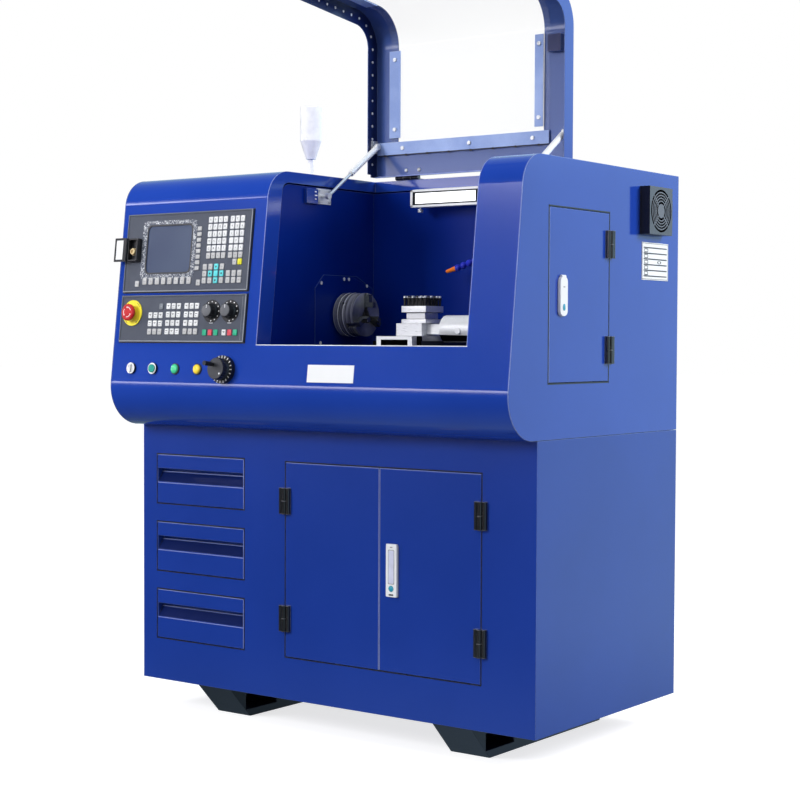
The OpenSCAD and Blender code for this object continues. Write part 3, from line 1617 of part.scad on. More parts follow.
module strut_rod(x) {
    color(SILVER) on_strut(x) union() {
        rotate([-90, 0, 0]) translate([0, 0, -strut_eye / 2]) cylinder(r = 8, h = strut_eye);
        to_x() cylinder(d = rod_d, h = strut_len - tube_len + 12);
    }
}

module strut_tube(x) {
    start = strut_len - tube_len - 9;
    color(WHITE) on_strut(x) difference() {
        union() {
            translate([start, 0, 0]) to_x() cylinder(d = strut_d, h = tube_len);
            translate([strut_len, 0, 0]) rotate([-90, 0, 0]) translate([0, 0, -strut_eye / 2])
                cylinder(r = 8, h = strut_eye);
            translate([strut_len - 12, -3, -4]) cube([8, 6, 8]);
        }
        translate([start - 1, 0, 0]) to_x() cylinder(d = rod_d + 2 * run, h = tube_len - 3);
        translate([strut_len, 0, 0]) rotate([-90, 0, 0]) translate([0, 0, -strut_eye])
            cylinder(r = stud_r + run, h = 2 * strut_eye);
    }
}

module strut_left_rod() { strut_rod(win_x0 + strut_in); }
module strut_left_tube() { strut_tube(win_x0 + strut_in); }
module strut_right_rod() { strut_rod(win_x1 - strut_in); }
module strut_right_tube() { strut_tube(win_x1 - strut_in); }

// ---------------------------------------------------------------- nodes

cabinet();
foot_channels();
enclosure_wrap();
left_side_panel();
right_side_panel();
rear_panel();
chamber_liner();
headstock_cover();
lathe_bed();
headstock();
servo_motors();
control_panels();
screen();
panel_keys();
panel_rings();
pilot_lamps();
port_box();
plates();
fan_housing();
chamber_brackets();
signal_lamp();
fixed_hinge_leaves();
coolant_tank();
drive_rack();
drawer_low();
drawer_mid();
drawer_top();
left_door();
right_door();
right_door_handle();
side_door();
side_door_handle();
rear_door();
lid_frame();
lid_pane();
lid_fittings();
strut_left_rod();
strut_left_tube();
strut_right_rod();
strut_right_tube();
estop_mushroom();
feed_knob();
speed_knob();
selector_switch();
start_button();
handwheel();
crank_grip();
port_flap();
spindle();
chuck_body();
jaw_1();
jaw_2();
jaw_3();
z_screw();
carriage();
cross_slide();
turret_head();
fan_rotor();
work_lamp();
coolant_nozzle();
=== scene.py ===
import bpy
import bmesh
import json
from math import atan2, cos, hypot, pi, radians, sin, tan, tau
from mathutils import Matrix, Vector


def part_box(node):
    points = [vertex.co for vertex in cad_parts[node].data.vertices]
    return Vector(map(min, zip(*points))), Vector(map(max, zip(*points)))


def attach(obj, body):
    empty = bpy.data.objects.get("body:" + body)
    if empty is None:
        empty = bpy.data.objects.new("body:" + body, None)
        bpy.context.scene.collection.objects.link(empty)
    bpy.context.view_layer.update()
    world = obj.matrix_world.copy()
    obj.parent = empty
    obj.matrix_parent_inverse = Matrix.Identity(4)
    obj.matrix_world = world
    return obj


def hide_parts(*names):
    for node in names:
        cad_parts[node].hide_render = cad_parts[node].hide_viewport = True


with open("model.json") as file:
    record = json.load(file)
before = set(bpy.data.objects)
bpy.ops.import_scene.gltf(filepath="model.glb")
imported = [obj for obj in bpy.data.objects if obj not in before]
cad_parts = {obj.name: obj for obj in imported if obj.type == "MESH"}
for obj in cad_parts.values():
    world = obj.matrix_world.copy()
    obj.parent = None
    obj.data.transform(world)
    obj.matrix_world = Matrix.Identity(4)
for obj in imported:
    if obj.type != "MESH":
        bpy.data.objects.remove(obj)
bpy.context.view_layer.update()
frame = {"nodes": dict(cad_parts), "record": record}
nodes = frame["nodes"]
behaviour = frame["record"]["behaviour"]
body_of = {name: body for body, names in behaviour["bodies"].items() for name in names}
scene = bpy.context.scene


# -------- places
def box_mm(node):
    """Lowest and highest corners of a CAD node, in millimetres."""
    low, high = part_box(node)
    return Vector(low) * 1000, Vector(high) * 1000


def moved(x, y, z):
    return Matrix.Translation((x, y, z))


def rotated(degrees, axis):
    return Matrix.Rotation(radians(degrees), 4, axis)


def fascia(x, s, out=0):
    """Place on the slanted front: X to the right, Y up the slant, Z outwards."""
    spot = moved(x, front_y - NOSE + s * SIN - out * COS, enc_z + s * COS + out * SIN)
    return spot @ Matrix.Rotation(radians(90) - SLANT, 4, "X")


# Sizes in millimetres. Outer sizes come from the frame, and the rest repeat the part's own values.
(left_x, front_y, _), (right_x, back_y, _) = box_mm("cabinet")
(_, _, enc_z), (_, _, top_z) = box_mm("enclosure_wrap")
liner_lo, liner_hi = box_mm("chamber_liner")
SHEET = 2
win_x0, win_x1 = liner_lo.x + SHEET, liner_hi.x - SHEET
window_mid = (win_x0 + win_x1) / 2

# The front skin: how far its foot stands out, its slant, its bends, and the sill's height up the slant
NOSE = 130.5
SLANT = radians(6.7)
SIN, COS = sin(SLANT), cos(SLANT)
BEND_TOP, BEND_LOW = 76, 100
SILL = 208.5
# Heights up the slant of the display panel, the operator panel, the button row and the data port
HMI_S, OP_S, BUTTON_S, PORT_S = 437.5, 271.5, 146.5, 444.5
PANEL_W, HMI_HALF, OP_HALF = 420, 99, 58.5
panel_x = left_x + 21
# Places of the buttons, knobs and handwheel from the panels' left end
BUTTON_X, BUTTON_PITCH, ESTOP_X, WHEEL_X = 51, 74.8, 42, 363
KNOB_X, KNOB_PITCH, KNOB_S = 310.5, 60, OP_S + 17

hinge_at = next(joint["pos_m"] for joint in behaviour["joints"] if joint["name"] == "lid_hinge")
lid_ay, lid_az = (v * 1000 for v in hinge_at[1:])
LID_GAP = 9.5
lid_x0, lid_x1 = win_x0 + LID_GAP, win_x1 - LID_GAP
PANE_BACK = top_z - SHEET - 4
stud_y, stud_z = lid_ay - 81, lid_az - 22
strut_y, strut_z = front_y + 135, top_z - 52

# Places whose Z points to the right, to the front and to the back. LID turns what is given for the
# shut lid to where the lid is at rest, which is open
TO_X = rotated(90, "Y")
TO_FRONT = rotated(90, "X")
FACING_X = rotated(90, "Z") @ TO_FRONT
FRONT = moved(0, front_y, 0) @ TO_FRONT
SIDE = moved(right_x, 0, 0) @ FACING_X
BACK = moved(0, back_y, 0) @ rotated(180, "Z") @ TO_FRONT
LID = moved(0, lid_ay, lid_az) @ rotated(-90, "X") @ moved(0, -lid_ay, -lid_az)
PANEL = fascia(panel_x, 0)


def placed(name, data):
    """A new object with its data, in the scene."""
    obj = bpy.data.objects.new(name, data)
    bpy.context.collection.objects.link(obj)
    return obj


# -------- camera
LENS, SENSOR = 77.86, 36
AZIMUTH, PITCH, ROLL = radians(36.48), radians(-2.01), radians(0.24)
# Metres from the cabinet's front left edge, and above the floor
CAMERA_RIGHT, CAMERA_FORWARD, CAMERA_UP = 3.2011, 3.2114, 0.9579
camera_data = bpy.data.cameras.new("camera")
camera_data.sensor_width = SENSOR
camera_data.lens = LENS
camera = placed("camera", camera_data)
aim = Vector((-sin(AZIMUTH) * cos(PITCH), cos(AZIMUTH) * cos(PITCH), sin(PITCH)))
camera.location = (left_x * 0.001 + CAMERA_RIGHT, front_y * 0.001 - CAMERA_FORWARD, CAMERA_UP)
level = aim.to_track_quat("-Z", "Y").to_matrix()
camera.rotation_euler = (level @ Matrix.Rotation(ROLL, 3, "Z")).to_euler()
scene.camera = camera
scene.view_settings.view_transform = "Standard"


# -------- materials
class Graph:
    """Short calls for the nodes of one material or of the world."""

    def __init__(self, owner):
        owner.use_nodes = True
        self.nodes = owner.node_tree.nodes
        self.links = owner.node_tree.links

    def fill(self, node, values):
        """Sets inputs by name or number: the output of another node is linked, and the rest are constants."""
        for key, value in values.items():
            if isinstance(value, bpy.types.NodeSocket):
                self.links.new(value, node.inputs[key])
            else:
                node.inputs[key].default_value = value
        return node

    def add(self, kind, values, **settings):
        """The outputs of a new node."""
        node = self.nodes.new("ShaderNode" + kind)
        for key, value in settings.items():
            setattr(node, key, value)
        return self.fill(node, values).outputs

    def fit(self, value, values, **settings):
        return self.add("MapRange", {"Value": value, **values}, **settings)["Result"]

    def noise(self, scale, detail=3, distortion=0, stretch=None):
        """Noise in the object's own coordinates, which may be stretched."""
        spot = self.add("TexCoord", {})["Object"]
        if stretch:
            spot = self.add("Mapping", {"Vector": spot, "Scale": stretch})["Vector"]
        values = {"Vector": spot, "Scale": scale, "Detail": detail, "Distortion": distortion}
        return self.add("TexNoise", values)["Fac"]

    def ramp(self, value, low, high, start=0.35, end=0.65):
        """Colour that goes from one to another, as the value goes from start to end."""
        node = self.nodes.new("ShaderNodeValToRGB")
        for stop, position, color in zip(node.color_ramp.elements, (start, end), (low, high)):
            stop.position = position
            stop.color = (*color, 1)
        return self.fill(node, {"Fac": value}).outputs["Color"]

    def soft_normal(self, radius):
        """Normals that are rounded at the edges."""
        return self.add("Bevel", {"Radius": radius}, samples=4)["Normal"]

    def bump(self, height, strength, distance, bevel=0):
        values = {"Height": height, "Strength": strength, "Distance": distance}
        if bevel:
            values["Normal"] = self.soft_normal(bevel)
        return self.add("Bump", values)["Normal"]

    def dot(self, first, second):
        return self.add("VectorMath", {0: first, 1: second}, operation="DOT_PRODUCT")["Value"]

    def painted_edge_highlight(self, color, highlight_tint, radius, amount):
        """A colour that goes paler where the surface turns a corner: a painted highlight along edges."""
        turn = self.dot(self.add("NewGeometry", {})["Normal"], self.soft_normal(radius))
        edge = self.fit(turn, {"From Min": 0.99, "From Max": 0.85, "To Max": amount})
        return self.add("Mix", {0: edge, 6: color, 7: (*highlight_tint, 1)}, data_type="RGBA")[2]

    def mixed(self, factor, first, second):
        return self.add("MixShader", {0: factor, 1: first, 2: second})[0]

    def added(self, first, second):
        return self.add("AddShader", {0: first, 1: second})[0]


def shader(name):
    """A new material with its graph and its Principled shader."""
    m = bpy.data.materials.new(name)
    graph = Graph(m)
    return m, graph, graph.nodes["Principled BSDF"]


PEEL, PEEL_DEPTH, PEEL_STRENGTH = 1300, 0.00004, 0.25
COAT_ROUGHNESS = 0.06


def paint(name, low, high, rough=0.3, coat=0, peel=PEEL, bevel=0.0012, patch=3, spec=0.5,
          rough_span=0.06, highlight_tint=None, highlight_amount=0.6):
    """Sprayed or moulded finish: slight shade drift, orange peel or grain, and rounded sheet edges, which can
    go paler as a painted highlight.
    """
    m, graph, bsdf = shader(name)
    color = graph.ramp(graph.noise(patch, 4), low, high)
    if highlight_tint:
        color = graph.painted_edge_highlight(color, highlight_tint, bevel, highlight_amount)
    grain = graph.noise(peel, 2)
    spread = {"To Min": max(rough - rough_span, 0.02), "To Max": rough + rough_span}
    graph.fill(bsdf, {"Base Color": color, "Roughness": graph.fit(grain, spread), "Specular IOR Level": spec,
                      "Coat Weight": coat, "Coat Roughness": COAT_ROUGHNESS,
                      "Normal": graph.bump(grain, PEEL_STRENGTH, PEEL_DEPTH, bevel)})
    return m


def brushed(name, low, high, rough=0.3, along="X", streak=900, metallic=0.5):
    """Ground or turned metal with streaks along one axis, or in rings round X."""
    m, graph, bsdf = shader(name)
    stretch = {"X": (60, streak, streak), "Y": (streak, 60, streak),
               "Z": (streak, streak, 20), "rings": (streak, 9, 9)}[along]
    streaks = graph.noise(1, stretch=stretch)
    graph.fill(bsdf, {"Base Color": graph.ramp(streaks, low, high, 0.3, 0.7), "Metallic": metallic,
                      "Roughness": graph.fit(streaks, {"To Min": rough - 0.03, "To Max": rough + 0.04}),
                      "Normal": graph.bump(streaks, 0.10, 0.00002, 0.0006)})
    return m


def moulded(name, color, rough=0.35, coat=0.15):
    """Plastic or enamel in one shade, a little lighter and darker in patches."""
    low = tuple(c * 0.92 for c in color)
    high = tuple(min(c * 1.06, 1) for c in color)
    return paint(name, low, high, rough=rough, coat=coat, peel=1500, bevel=0.0005, patch=40)


def smooth(name, scale, detail, low, high, values):
    """Smooth sheet whose shade drifts between two colours, with other values of its shader."""
    m, graph, bsdf = shader(name)
    graph.fill(bsdf, {"Base Color": graph.ramp(graph.noise(scale, detail), low, high), **values})
    return m


def crinkled_film():
    """Crinkled clear film round the display: pale streaks over the panel's grey."""
    m, graph, bsdf = shader("crinkled_film")
    crease = graph.noise(190, 6, distortion=1.6)
    streaks = graph.ramp(crease, (0.075, 0.087, 0.120), (0.74, 0.76, 0.80), 0.50, 0.66)
    graph.fill(bsdf, {"Base Color": streaks, "Roughness": 0.22, "Normal": graph.bump(crease, 0.6, 0.0006)})
    return m


def lamp_diffuser():
    """Diffuser of the work lamp, which glows a little."""
    m, graph, bsdf = shader("lamp_diffuser")
    grain = graph.ramp(graph.noise(300), (0.95, 0.96, 0.98), (0.98, 0.99, 1))
    graph.fill(bsdf, {"Base Color": grain, "Emission Color": grain, "Emission Strength": 0.75,
                      "Roughness": 0.4})
    return m


# Paler blue that the paints take on at their rounded edges: a painted highlight
EDGE_HIGHLIGHT_TINT = (0.26, 0.33, 0.62)
# Both ends of the colour, and the roughness
BLUE = paint("blue_paint", (0.008, 0.037, 0.275), (0.01, 0.042, 0.305), 0.2, coat=0.25,
             bevel=0.0016, rough_span=0.03, highlight_tint=EDGE_HIGHLIGHT_TINT)
# Lighter copy of the blue paint for the enclosure's sheets: painted light
ENCLOSURE_LIT = paint("enclosure_painted_light", (0.011, 0.047, 0.34), (0.014, 0.054, 0.375), 0.12, coat=0.4,
                  bevel=0.0018, rough_span=0.02, highlight_tint=EDGE_HIGHLIGHT_TINT)
# Darker copy of the blue paint for the chamber and the cover's wall side: painted shade inside the chamber
CHAMBER_SHADE = paint("chamber_painted_shade", (0.0005, 0.013, 0.18), (0.0012, 0.019, 0.215), 0.3, spec=0.15,
                bevel=0.0014, rough_span=0.03, highlight_tint=EDGE_HIGHLIGHT_TINT, highlight_amount=0.3)
# Paler, greyer copy of the blue paint for the lid's inner faces: painted sheen
LID_INNER_SHEEN = paint("lid_inner_painted_sheen", (0.042, 0.08, 0.265), (0.058, 0.104, 0.315), 0.24, coat=0.4,
                  bevel=0.0016, highlight_tint=EDGE_HIGHLIGHT_TINT)
# The strips' paler rounded edges are a painted highlight
LID_STRIP = paint("strip_paint", (0.2, 0.29, 0.58), (0.3, 0.4, 0.7), 0.28, coat=0.3, patch=9,
                  highlight_tint=(0.6, 0.66, 0.85), highlight_amount=0.7)
# Dark navy copy of the blue paint: painted shade in recesses and on inward faces
NAVY_SHADE = paint("navy_painted_shade", (0.0028, 0.009, 0.07), (0.0038, 0.012, 0.09), coat=0.2, bevel=0.001)
# Pale and dim strips laid along edges: painted highlights
PALE_HIGHLIGHT = paint("painted_pale_highlight", (0.17, 0.22, 0.52), (0.25, 0.3, 0.62), bevel=0.0004)
DIM_HIGHLIGHT = paint("painted_dim_highlight", (0.045, 0.075, 0.25), (0.06, 0.095, 0.3), bevel=0.0004)
FOOT = paint("foot_paint", (0.0045, 0.005, 0.016), (0.0075, 0.0085, 0.025), 0.45, peel=600, bevel=0.002)
# The film's grey rounded edges are a painted highlight
FILM = paint("panel_film", (0.05, 0.059, 0.084), (0.058, 0.068, 0.096), 0.48, peel=900, patch=30,
             highlight_tint=(0.2, 0.21, 0.22), highlight_amount=0.5)
# Near black that stands for shade in openings and behind frames: painted shadow
SHADOW_BLACK = paint("painted_shadow_black", (0.001, 0.001, 0.0014), (0.002, 0.002, 0.0026), 0.85, spec=0.05)
BLACK = paint("black_finish", (0.006, 0.006, 0.008), (0.01, 0.01, 0.012), 0.34, peel=700, bevel=0.0006)
# The hinges' grey rounded edges are a painted highlight
HINGE = paint("hinge_black", (0.012, 0.012, 0.014), (0.02, 0.02, 0.022), 0.22, coat=0.4, peel=900,
              bevel=0.0024, highlight_tint=(0.34, 0.34, 0.37), highlight_amount=0.9)
WHITE = paint("white_finish", (0.78, 0.79, 0.81), (0.83, 0.84, 0.86), 0.35, coat=0.2, peel=600, bevel=0.0006)

STEEL = brushed("ground_steel", (0.64, 0.65, 0.67), (0.71, 0.72, 0.74), 0.28)
TUBE = brushed("strut_tube", (0.86, 0.87, 0.88), (0.95, 0.95, 0.96), 0.38, along="Z", streak=500,
               metallic=0.25)
DARK_STEEL = brushed("dark_steel", (0.1, 0.102, 0.11), (0.26, 0.265, 0.28), 0.25, metallic=0.8)
# Ring marks that run from near black to near white: partly real turning marks, partly painted highlight bands
TURNED_RINGS_AND_GLINTS = brushed("turned_steel_rings_and_glints", (0.02, 0.021, 0.024), (0.86, 0.87, 0.89), 0.16, along="rings",
                 streak=230, metallic=0.62)
ALU = brushed("aluminium", (0.72, 0.73, 0.75), (0.88, 0.89, 0.9), 0.36, along="Y", metallic=0.25)
IRON = brushed("cast_iron", (0.07, 0.072, 0.085), (0.12, 0.125, 0.14), 0.42, streak=500, metallic=0.8)
BRASS = brushed("brass", (0.62, 0.46, 0.22), (0.86, 0.7, 0.42), metallic=0.4)

# Colour, roughness and coat
BLACK_PLASTIC = moulded("black_plastic", (0.012, 0.012, 0.015), 0.36, 0.1)
GREY_PLASTIC = moulded("grey_plastic", (0.115, 0.12, 0.135), 0.45, 0)
FAN_GREY = moulded("fan_grey", (0.062, 0.064, 0.072), 0.38, 0.1)
DARK_GREY = moulded("dark_grey_plastic", (0.04, 0.042, 0.05), 0.45, 0)
SIGNAL = moulded("signal_white", (0.88, 0.88, 0.9), 0.3, 0.3)
LAVENDER = moulded("lavender_white", (0.6, 0.62, 0.78), 0.3, 0.2)
RED = moulded("red_plastic", (0.52, 0.012, 0.018), 0.3, 0.3)
YELLOW = moulded("yellow_plastic", (0.9, 0.78, 0.045), 0.4)
GREEN = moulded("green_lens", (0.06, 0.62, 0.29), 0.25, 0.4)
TEAL = moulded("teal_plastic", (0.005, 0.3, 0.24), 0.25, 0.4)
AQUA = moulded("aqua_plastic", (0.02, 0.29, 0.42), 0.25, 0.4)
AMBER = moulded("amber_lens", (0.92, 0.66, 0.045), 0.25, 0.4)
NOZZLE = moulded("hose_blue", (0.02, 0.03, 0.48))
ORANGE = moulded("hose_orange", (0.86, 0.2, 0.02), 0.4)
# Pale grey for the borders' lit sides: painted highlight
RIM_HIGHLIGHT = moulded("panel_rim_highlight", (0.26, 0.28, 0.32))
KEY_COLORS = {
    "w": ("white", (0.72, 0.73, 0.75)), "g": ("grey", (0.46, 0.46, 0.47)), "d": ("dim", (0.16, 0.18, 0.21)),
    "y": ("yellow", (0.7, 0.66, 0.02)), "c": ("cyan", (0.1, 0.62, 0.66)),
    "n": ("green", (0.01, 0.36, 0.2)), "r": ("red", (0.62, 0.06, 0.09)),
}
KEY_FINISHES = {kind: moulded("key_" + name, color, rough=0.4) for kind, (name, color) in KEY_COLORS.items()}
KEY_FINISHES["o"] = KEY_FINISHES["c"]
KEY_DIM = KEY_FINISHES["d"]
INK = moulded("ink", (0.05, 0.05, 0.055), 0.5, 0)
INK_GREY = moulded("ink_grey", (0.28, 0.28, 0.29), 0.5, 0)
# The pane is mostly see-through with faint haze, and the switched-off display is slate blue
PANE = smooth("clear_pane", 60, 6, (0.9, 0.95, 1), (0.96, 0.98, 1), {"Alpha": 0.05, "Roughness": 0.05})
SCREEN = smooth("display_glass", 5, 1, (0.044, 0.062, 0.122), (0.06, 0.082, 0.145),
                {"Roughness": 0.25, "Coat Weight": 0.3})
CRINKLED = crinkled_film()
LIT = lamp_diffuser()

# -------- building tools
TINY = 0.05
CREASE = radians(32)


def polar(radius, angle):
    """Point (x, y) at a distance and an angle in radians."""
    return radius * cos(angle), radius * sin(angle)


def circle(radius, steps=32):
    return [polar(radius, tau * i / steps) for i in range(steps)]


def fluted(ridge, groove, steps):
    """Round outline of a grip, with a groove between every two ridges."""
    return [polar(ridge if i % 4 < 2 else groove, tau * i / steps) for i in range(steps)]


def scaled(outline, x_factor, y_factor):
    return [(x * x_factor, y * y_factor) for x, y in outline]


def rounded(w, h, r, steps=4, mid=(0, 0)):
    """Rectangle with rounded corners about a middle point, anticlockwise."""
    r = max(r, TINY)
    points = []
    for k, (sx, sy) in enumerate(((1, 1), (-1, 1), (-1, -1), (1, -1))):
        for i in range(steps + 1):
            x, y = polar(r, pi / 2 * (k + i / steps))
            points.append((mid[0] + sx * (w / 2 - r) + x, mid[1] + sy * (h / 2 - r) + y))
    return points


def middle(low, high):
    return (low + high) / 2


class Part:
    """One detail piece, built in millimetres, with a material slot for each finish."""

    def __init__(self, name):
        self.name = name
        self.bm = bmesh.new()
        self.finishes = []

    def face(self, verts, finish):
        if finish not in self.finishes:
            self.finishes.append(finish)
        self.bm.faces.new(verts).material_index = self.finishes.index(finish)

    def row(self, at, outline, z):
        return [self.bm.verts.new(at @ Vector((x, y, z))) for x, y in outline]

    def walls(self, rows, finish):
        """Faces between rows of points of equal length."""
        for a, b in zip(rows, rows[1:]):
            for i in range(len(a)):
                j = (i + 1) % len(a)
                self.face((a[i], a[j], b[j], b[i]), finish)

    def closed(self, rows, finish):
        """Faces between the rows and over both ends."""
        self.walls(rows, finish)
        self.face(list(reversed(rows[0])), finish)
        self.face(rows[-1], finish)

    def loft(self, at, layers, finish):
        """Skin through outlines of equal length at rising heights, with flat ends."""
        self.closed([self.row(at, outline, z) for outline, z in layers], finish)

    def plate(self, at, outline, z0, z1, finish):
        self.loft(at, [(outline, z0), (outline, z1)], finish)

    def turned(self, at, profile, finish, steps=32):
        self.loft(at, [(circle(max(r, TINY), steps), z) for r, z in profile], finish)

    def dome(self, at, radius, height, finish, steps, base):
        """Low button head: a short edge and a rounded crown."""
        crown = ((1, 0), (1, 0.3), (0.86, 0.72), (0.5, 0.95))
        profile = [(radius * r, base + height * z) for r, z in crown]
        self.turned(at, profile + [(0.1, base + height)], finish, steps)

    def box(self, at, low, high, finish, edge=0):
        """Block with its edges along the height and its top edge broken by the given amount."""
        if not edge:
            outline = [(low[0], low[1]), (high[0], low[1]), (high[0], high[1]), (low[0], high[1])]
            self.plate(at, outline, low[2], high[2], finish)
            return
        w, h = high[0] - low[0], high[1] - low[1]
        mid = (middle(low[0], high[0]), middle(low[1], high[1]))
        layers = [(rounded(w, h, edge, 3, mid), low[2])]
        for a in (0, pi / 4, pi / 2):
            inset = edge * (1 - cos(a))
            outline = rounded(w - 2 * inset, h - 2 * inset, edge - inset, 3, mid)
            layers.append((outline, high[2] - edge + edge * sin(a)))
        self.loft(at, layers, finish)

    def arc(self, at, r0, r1, start, stop, z0, z1, finish, steps=10):
        """Flat segment of a ring between two angles, in degrees."""
        turns = [radians(start + (stop - start) * i / steps) for i in range(steps + 1)]
        outline = [polar(r0, a) for a in turns] + [polar(r1, a) for a in reversed(turns)]
        self.plate(at, outline, z0, z1, finish)

    def edging(self, at, area, width, low, high, sides, finish):
        """Narrow strips on sides l, r, b and t of an area (x0, x1, y0, y1). A negative width lies outside."""
        x0, x1, y0, y1 = area
        if width < 0:
            x0, x1, y0, y1, width = x0 + width, x1 - width, y0 + width, y1 - width, -width
        strips = {"l": (x0, x0 + width, y0, y1), "r": (x1 - width, x1, y0, y1),
                  "b": (x0, x1, y0, y0 + width), "t": (x0, x1, y1 - width, y1)}
        for side in sides:
            a, b, c, d = strips[side]
            self.box(at, (a, c, low), (b, d, high), finish)

    def ring(self, at, outer, inner, z0, z1, finish):
        """Flat frame between two outlines of equal length."""
        rows = [self.row(at, *layer) for layer in ((outer, z0), (outer, z1), (inner, z1), (inner, z0))]
        self.walls(rows + rows[:1], finish)

    def band(self, x0, x1, stations, thick, finish):
        """Thin strip along X that follows points (y, z) and their outward directions."""
        rows = [[self.bm.verts.new((x, y + a * out_y * thick, z + a * out_z * thick))
                 for x, a in ((x0, 0), (x1, 0), (x1, 1), (x0, 1))] for y, z, out_y, out_z in stations]
        self.closed(rows, finish)

    def sign(self, at, text, size, finish, z):
        """Flat characters of the built-in font, centred on the place."""
        points, faces = letter_mesh(text)
        verts = self.row(at, scaled(points, size, size), z)
        for f in faces:
            self.face([verts[i] for i in f], finish)

    def done(self, node, stands_for=False):
        """Makes the piece ride with a CAD node, or stand for it."""
        bmesh.ops.recalc_face_normals(self.bm, faces=self.bm.faces)
        mesh = bpy.data.meshes.new(self.name)
        self.bm.to_mesh(mesh)
        self.bm.free()
        mesh.transform(Matrix.Scale(0.001, 4))
        for m in self.finishes:
            mesh.materials.append(m)
        mesh.polygons.foreach_set("use_smooth", [True] * len(mesh.polygons))
        mesh.set_sharp_from_angle(angle=CREASE)
        obj = placed(self.name, mesh)
        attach(obj, body_of[node])
        if stands_for:
            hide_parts(node)


letters = {}


def letter_mesh(text):
    """Points and faces of one character of the built-in font."""
    if text not in letters:
        curve = bpy.data.curves.new("letter", "FONT")
        curve.body = text
        curve.align_x, curve.align_y = "CENTER", "CENTER"
        curve.resolution_u = 2
        obj = placed("letter", curve)
        mesh = bpy.data.meshes.new_from_object(obj)
        points = [(v.co.x, v.co.y) for v in mesh.vertices]
        letters[text] = points, [tuple(p.vertices) for p in mesh.polygons]
        bpy.data.objects.remove(obj)
        bpy.data.meshes.remove(mesh)
        bpy.data.curves.remove(curve)
    return letters[text]


def dressed(node, rule, place=Matrix.Identity(4)):
    """Stand-in for a CAD node. A rule finishes its faces by middle (mm) and direction, seen from a place."""
    mesh = nodes[node].data.copy()
    mesh.materials.clear()
    back = place.inverted()
    turn = back.to_3x3()
    picked = [rule(back @ (p.center * 1000), turn @ p.normal) for p in mesh.polygons]
    finishes = list(dict.fromkeys(picked))
    for finish in finishes:
        mesh.materials.append(finish)
    mesh.polygons.foreach_set("material_index", [finishes.index(finish) for finish in picked])
    obj = placed(node + "_dressed", mesh)
    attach(obj, body_of[node])
    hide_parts(node)


# -------- finishes of the CAD nodes
FINISHES = (
    (FOOT, "foot_channels"), (CHAMBER_SHADE, "chamber_liner"), (IRON, "lathe_bed headstock"),
    (BLACK, "servo_motors"), (FILM, "control_panels"), (WHITE, "plates"), (SCREEN, "screen"),
    (SIGNAL, "signal_lamp"), (HINGE, "fixed_hinge_leaves"), (PANE, "lid_pane"),
    (ALU, "coolant_tank drive_rack selector_switch"), (RED, "estop_mushroom"), (TEAL, "start_button"),
    (STEEL, "strut_left_rod strut_right_rod spindle z_screw"), (TUBE, "strut_left_tube strut_right_tube"),
    (DARK_STEEL, "jaw_1 jaw_2 jaw_3"), (BLACK_PLASTIC, "crank_grip fan_rotor port_flap"),
    (ENCLOSURE_LIT, "enclosure_wrap left_side_panel right_side_panel rear_panel"),
)
finish_of = {name: finish for finish, names in FINISHES for name in names.split()}
for name, obj in nodes.items():
    if not obj.material_slots:
        obj.data.materials.append(BLUE)
    for slot in obj.material_slots:
        slot.material = finish_of.get(name, BLUE)

# Hinge leaves stand this far out of the doors. They are black, and the doors are blue
PROUD = 0.3
for name in ("left_door", "right_door"):
    dressed(name, lambda c, n: HINGE if c.y < front_y - PROUD else BLUE)
dressed("side_door", lambda c, n: HINGE if c.x > right_x + PROUD else ENCLOSURE_LIT)
dressed("rear_door", lambda c, n: HINGE if c.y > back_y + PROUD else ENCLOSURE_LIT)


def lid_finish(c, n):
    if c.z > top_z + 0.2:
        return HINGE
    # Side faces turned inwards take navy, painted shade; the skin's inner faces take the paler lid paint,
    # painted sheen
    if abs(n.x) > 0.5:
        inward = (c.x < window_mid) == (n.x > 0) and lid_x0 + 1 < c.x < lid_x1 - 1
        return NAVY_SHADE if inward else BLUE
    return LID_INNER_SHEEN if n.z < -0.5 or n.y > 0.5 else BLUE


dressed("lid_frame", lid_finish, LID)

# The finger grip along the foot of each drawer: how deep and high its slope is, and where it starts
GRIP_DEEP, GRIP_HIGH, GRIP_Z = 18, 27, 54.5
DRAWERS = ("drawer_low", "drawer_mid", "drawer_top")


def drawer_finish(c, n):
    # The grip's slope and the faces inside it take navy: painted shade in the recess
    sloped = n.z > 0.3 and n.y < -0.5 and c.y < front_y + GRIP_DEEP
    inside = front_y + 0.5 < c.y < front_y + GRIP_DEEP + 2 and abs(n.x) < 0.5
    return NAVY_SHADE if sloped or inside else BLUE


for name in DRAWERS:
    dressed(name, drawer_finish)


def lid_fitting_finish(c, n):
    """Steel stud plates and pane strip, and painted shade in dark navy on a box at the right end of the pale
    strips.
    """
    at_side = min(c.x - lid_x0, lid_x1 - c.x)
    if at_side < 22 and abs(c.y - stud_y) < 17 and abs(c.z - stud_z) < 15:
        return STEEL
    if PANE_BACK - 5 < c.z < PANE_BACK - 2.1 and at_side < 400 and n.z < 0.5:
        return STEEL
    return NAVY_SHADE if c.x > lid_x1 - 61 and c.z < PANE_BACK - 8 else LID_STRIP


def ring_finish(c, n):
    """Yellow plate of the emergency stop, bright bezel of the selector, and black for the rest."""
    if c.y > 200:
        return YELLOW if abs(c.x - ESTOP_X) < 40 else BLACK
    return ALU if c.x < 160 and n.z > 0.5 else BLACK


dressed("lid_fittings", lid_fitting_finish, LID)
dressed("panel_rings", ring_finish, PANEL)
lamp_lo, lamp_hi = box_mm("work_lamp")
lamp_y, lamp_z = liner_hi.y - SHEET - 42, liner_hi.z - 23
# The lamp's half height, the depth of its front frame and the width of that frame
LAMP_HALF, LAMP_FRONT, LAMP_RIM = 22, 5.5, 2.5


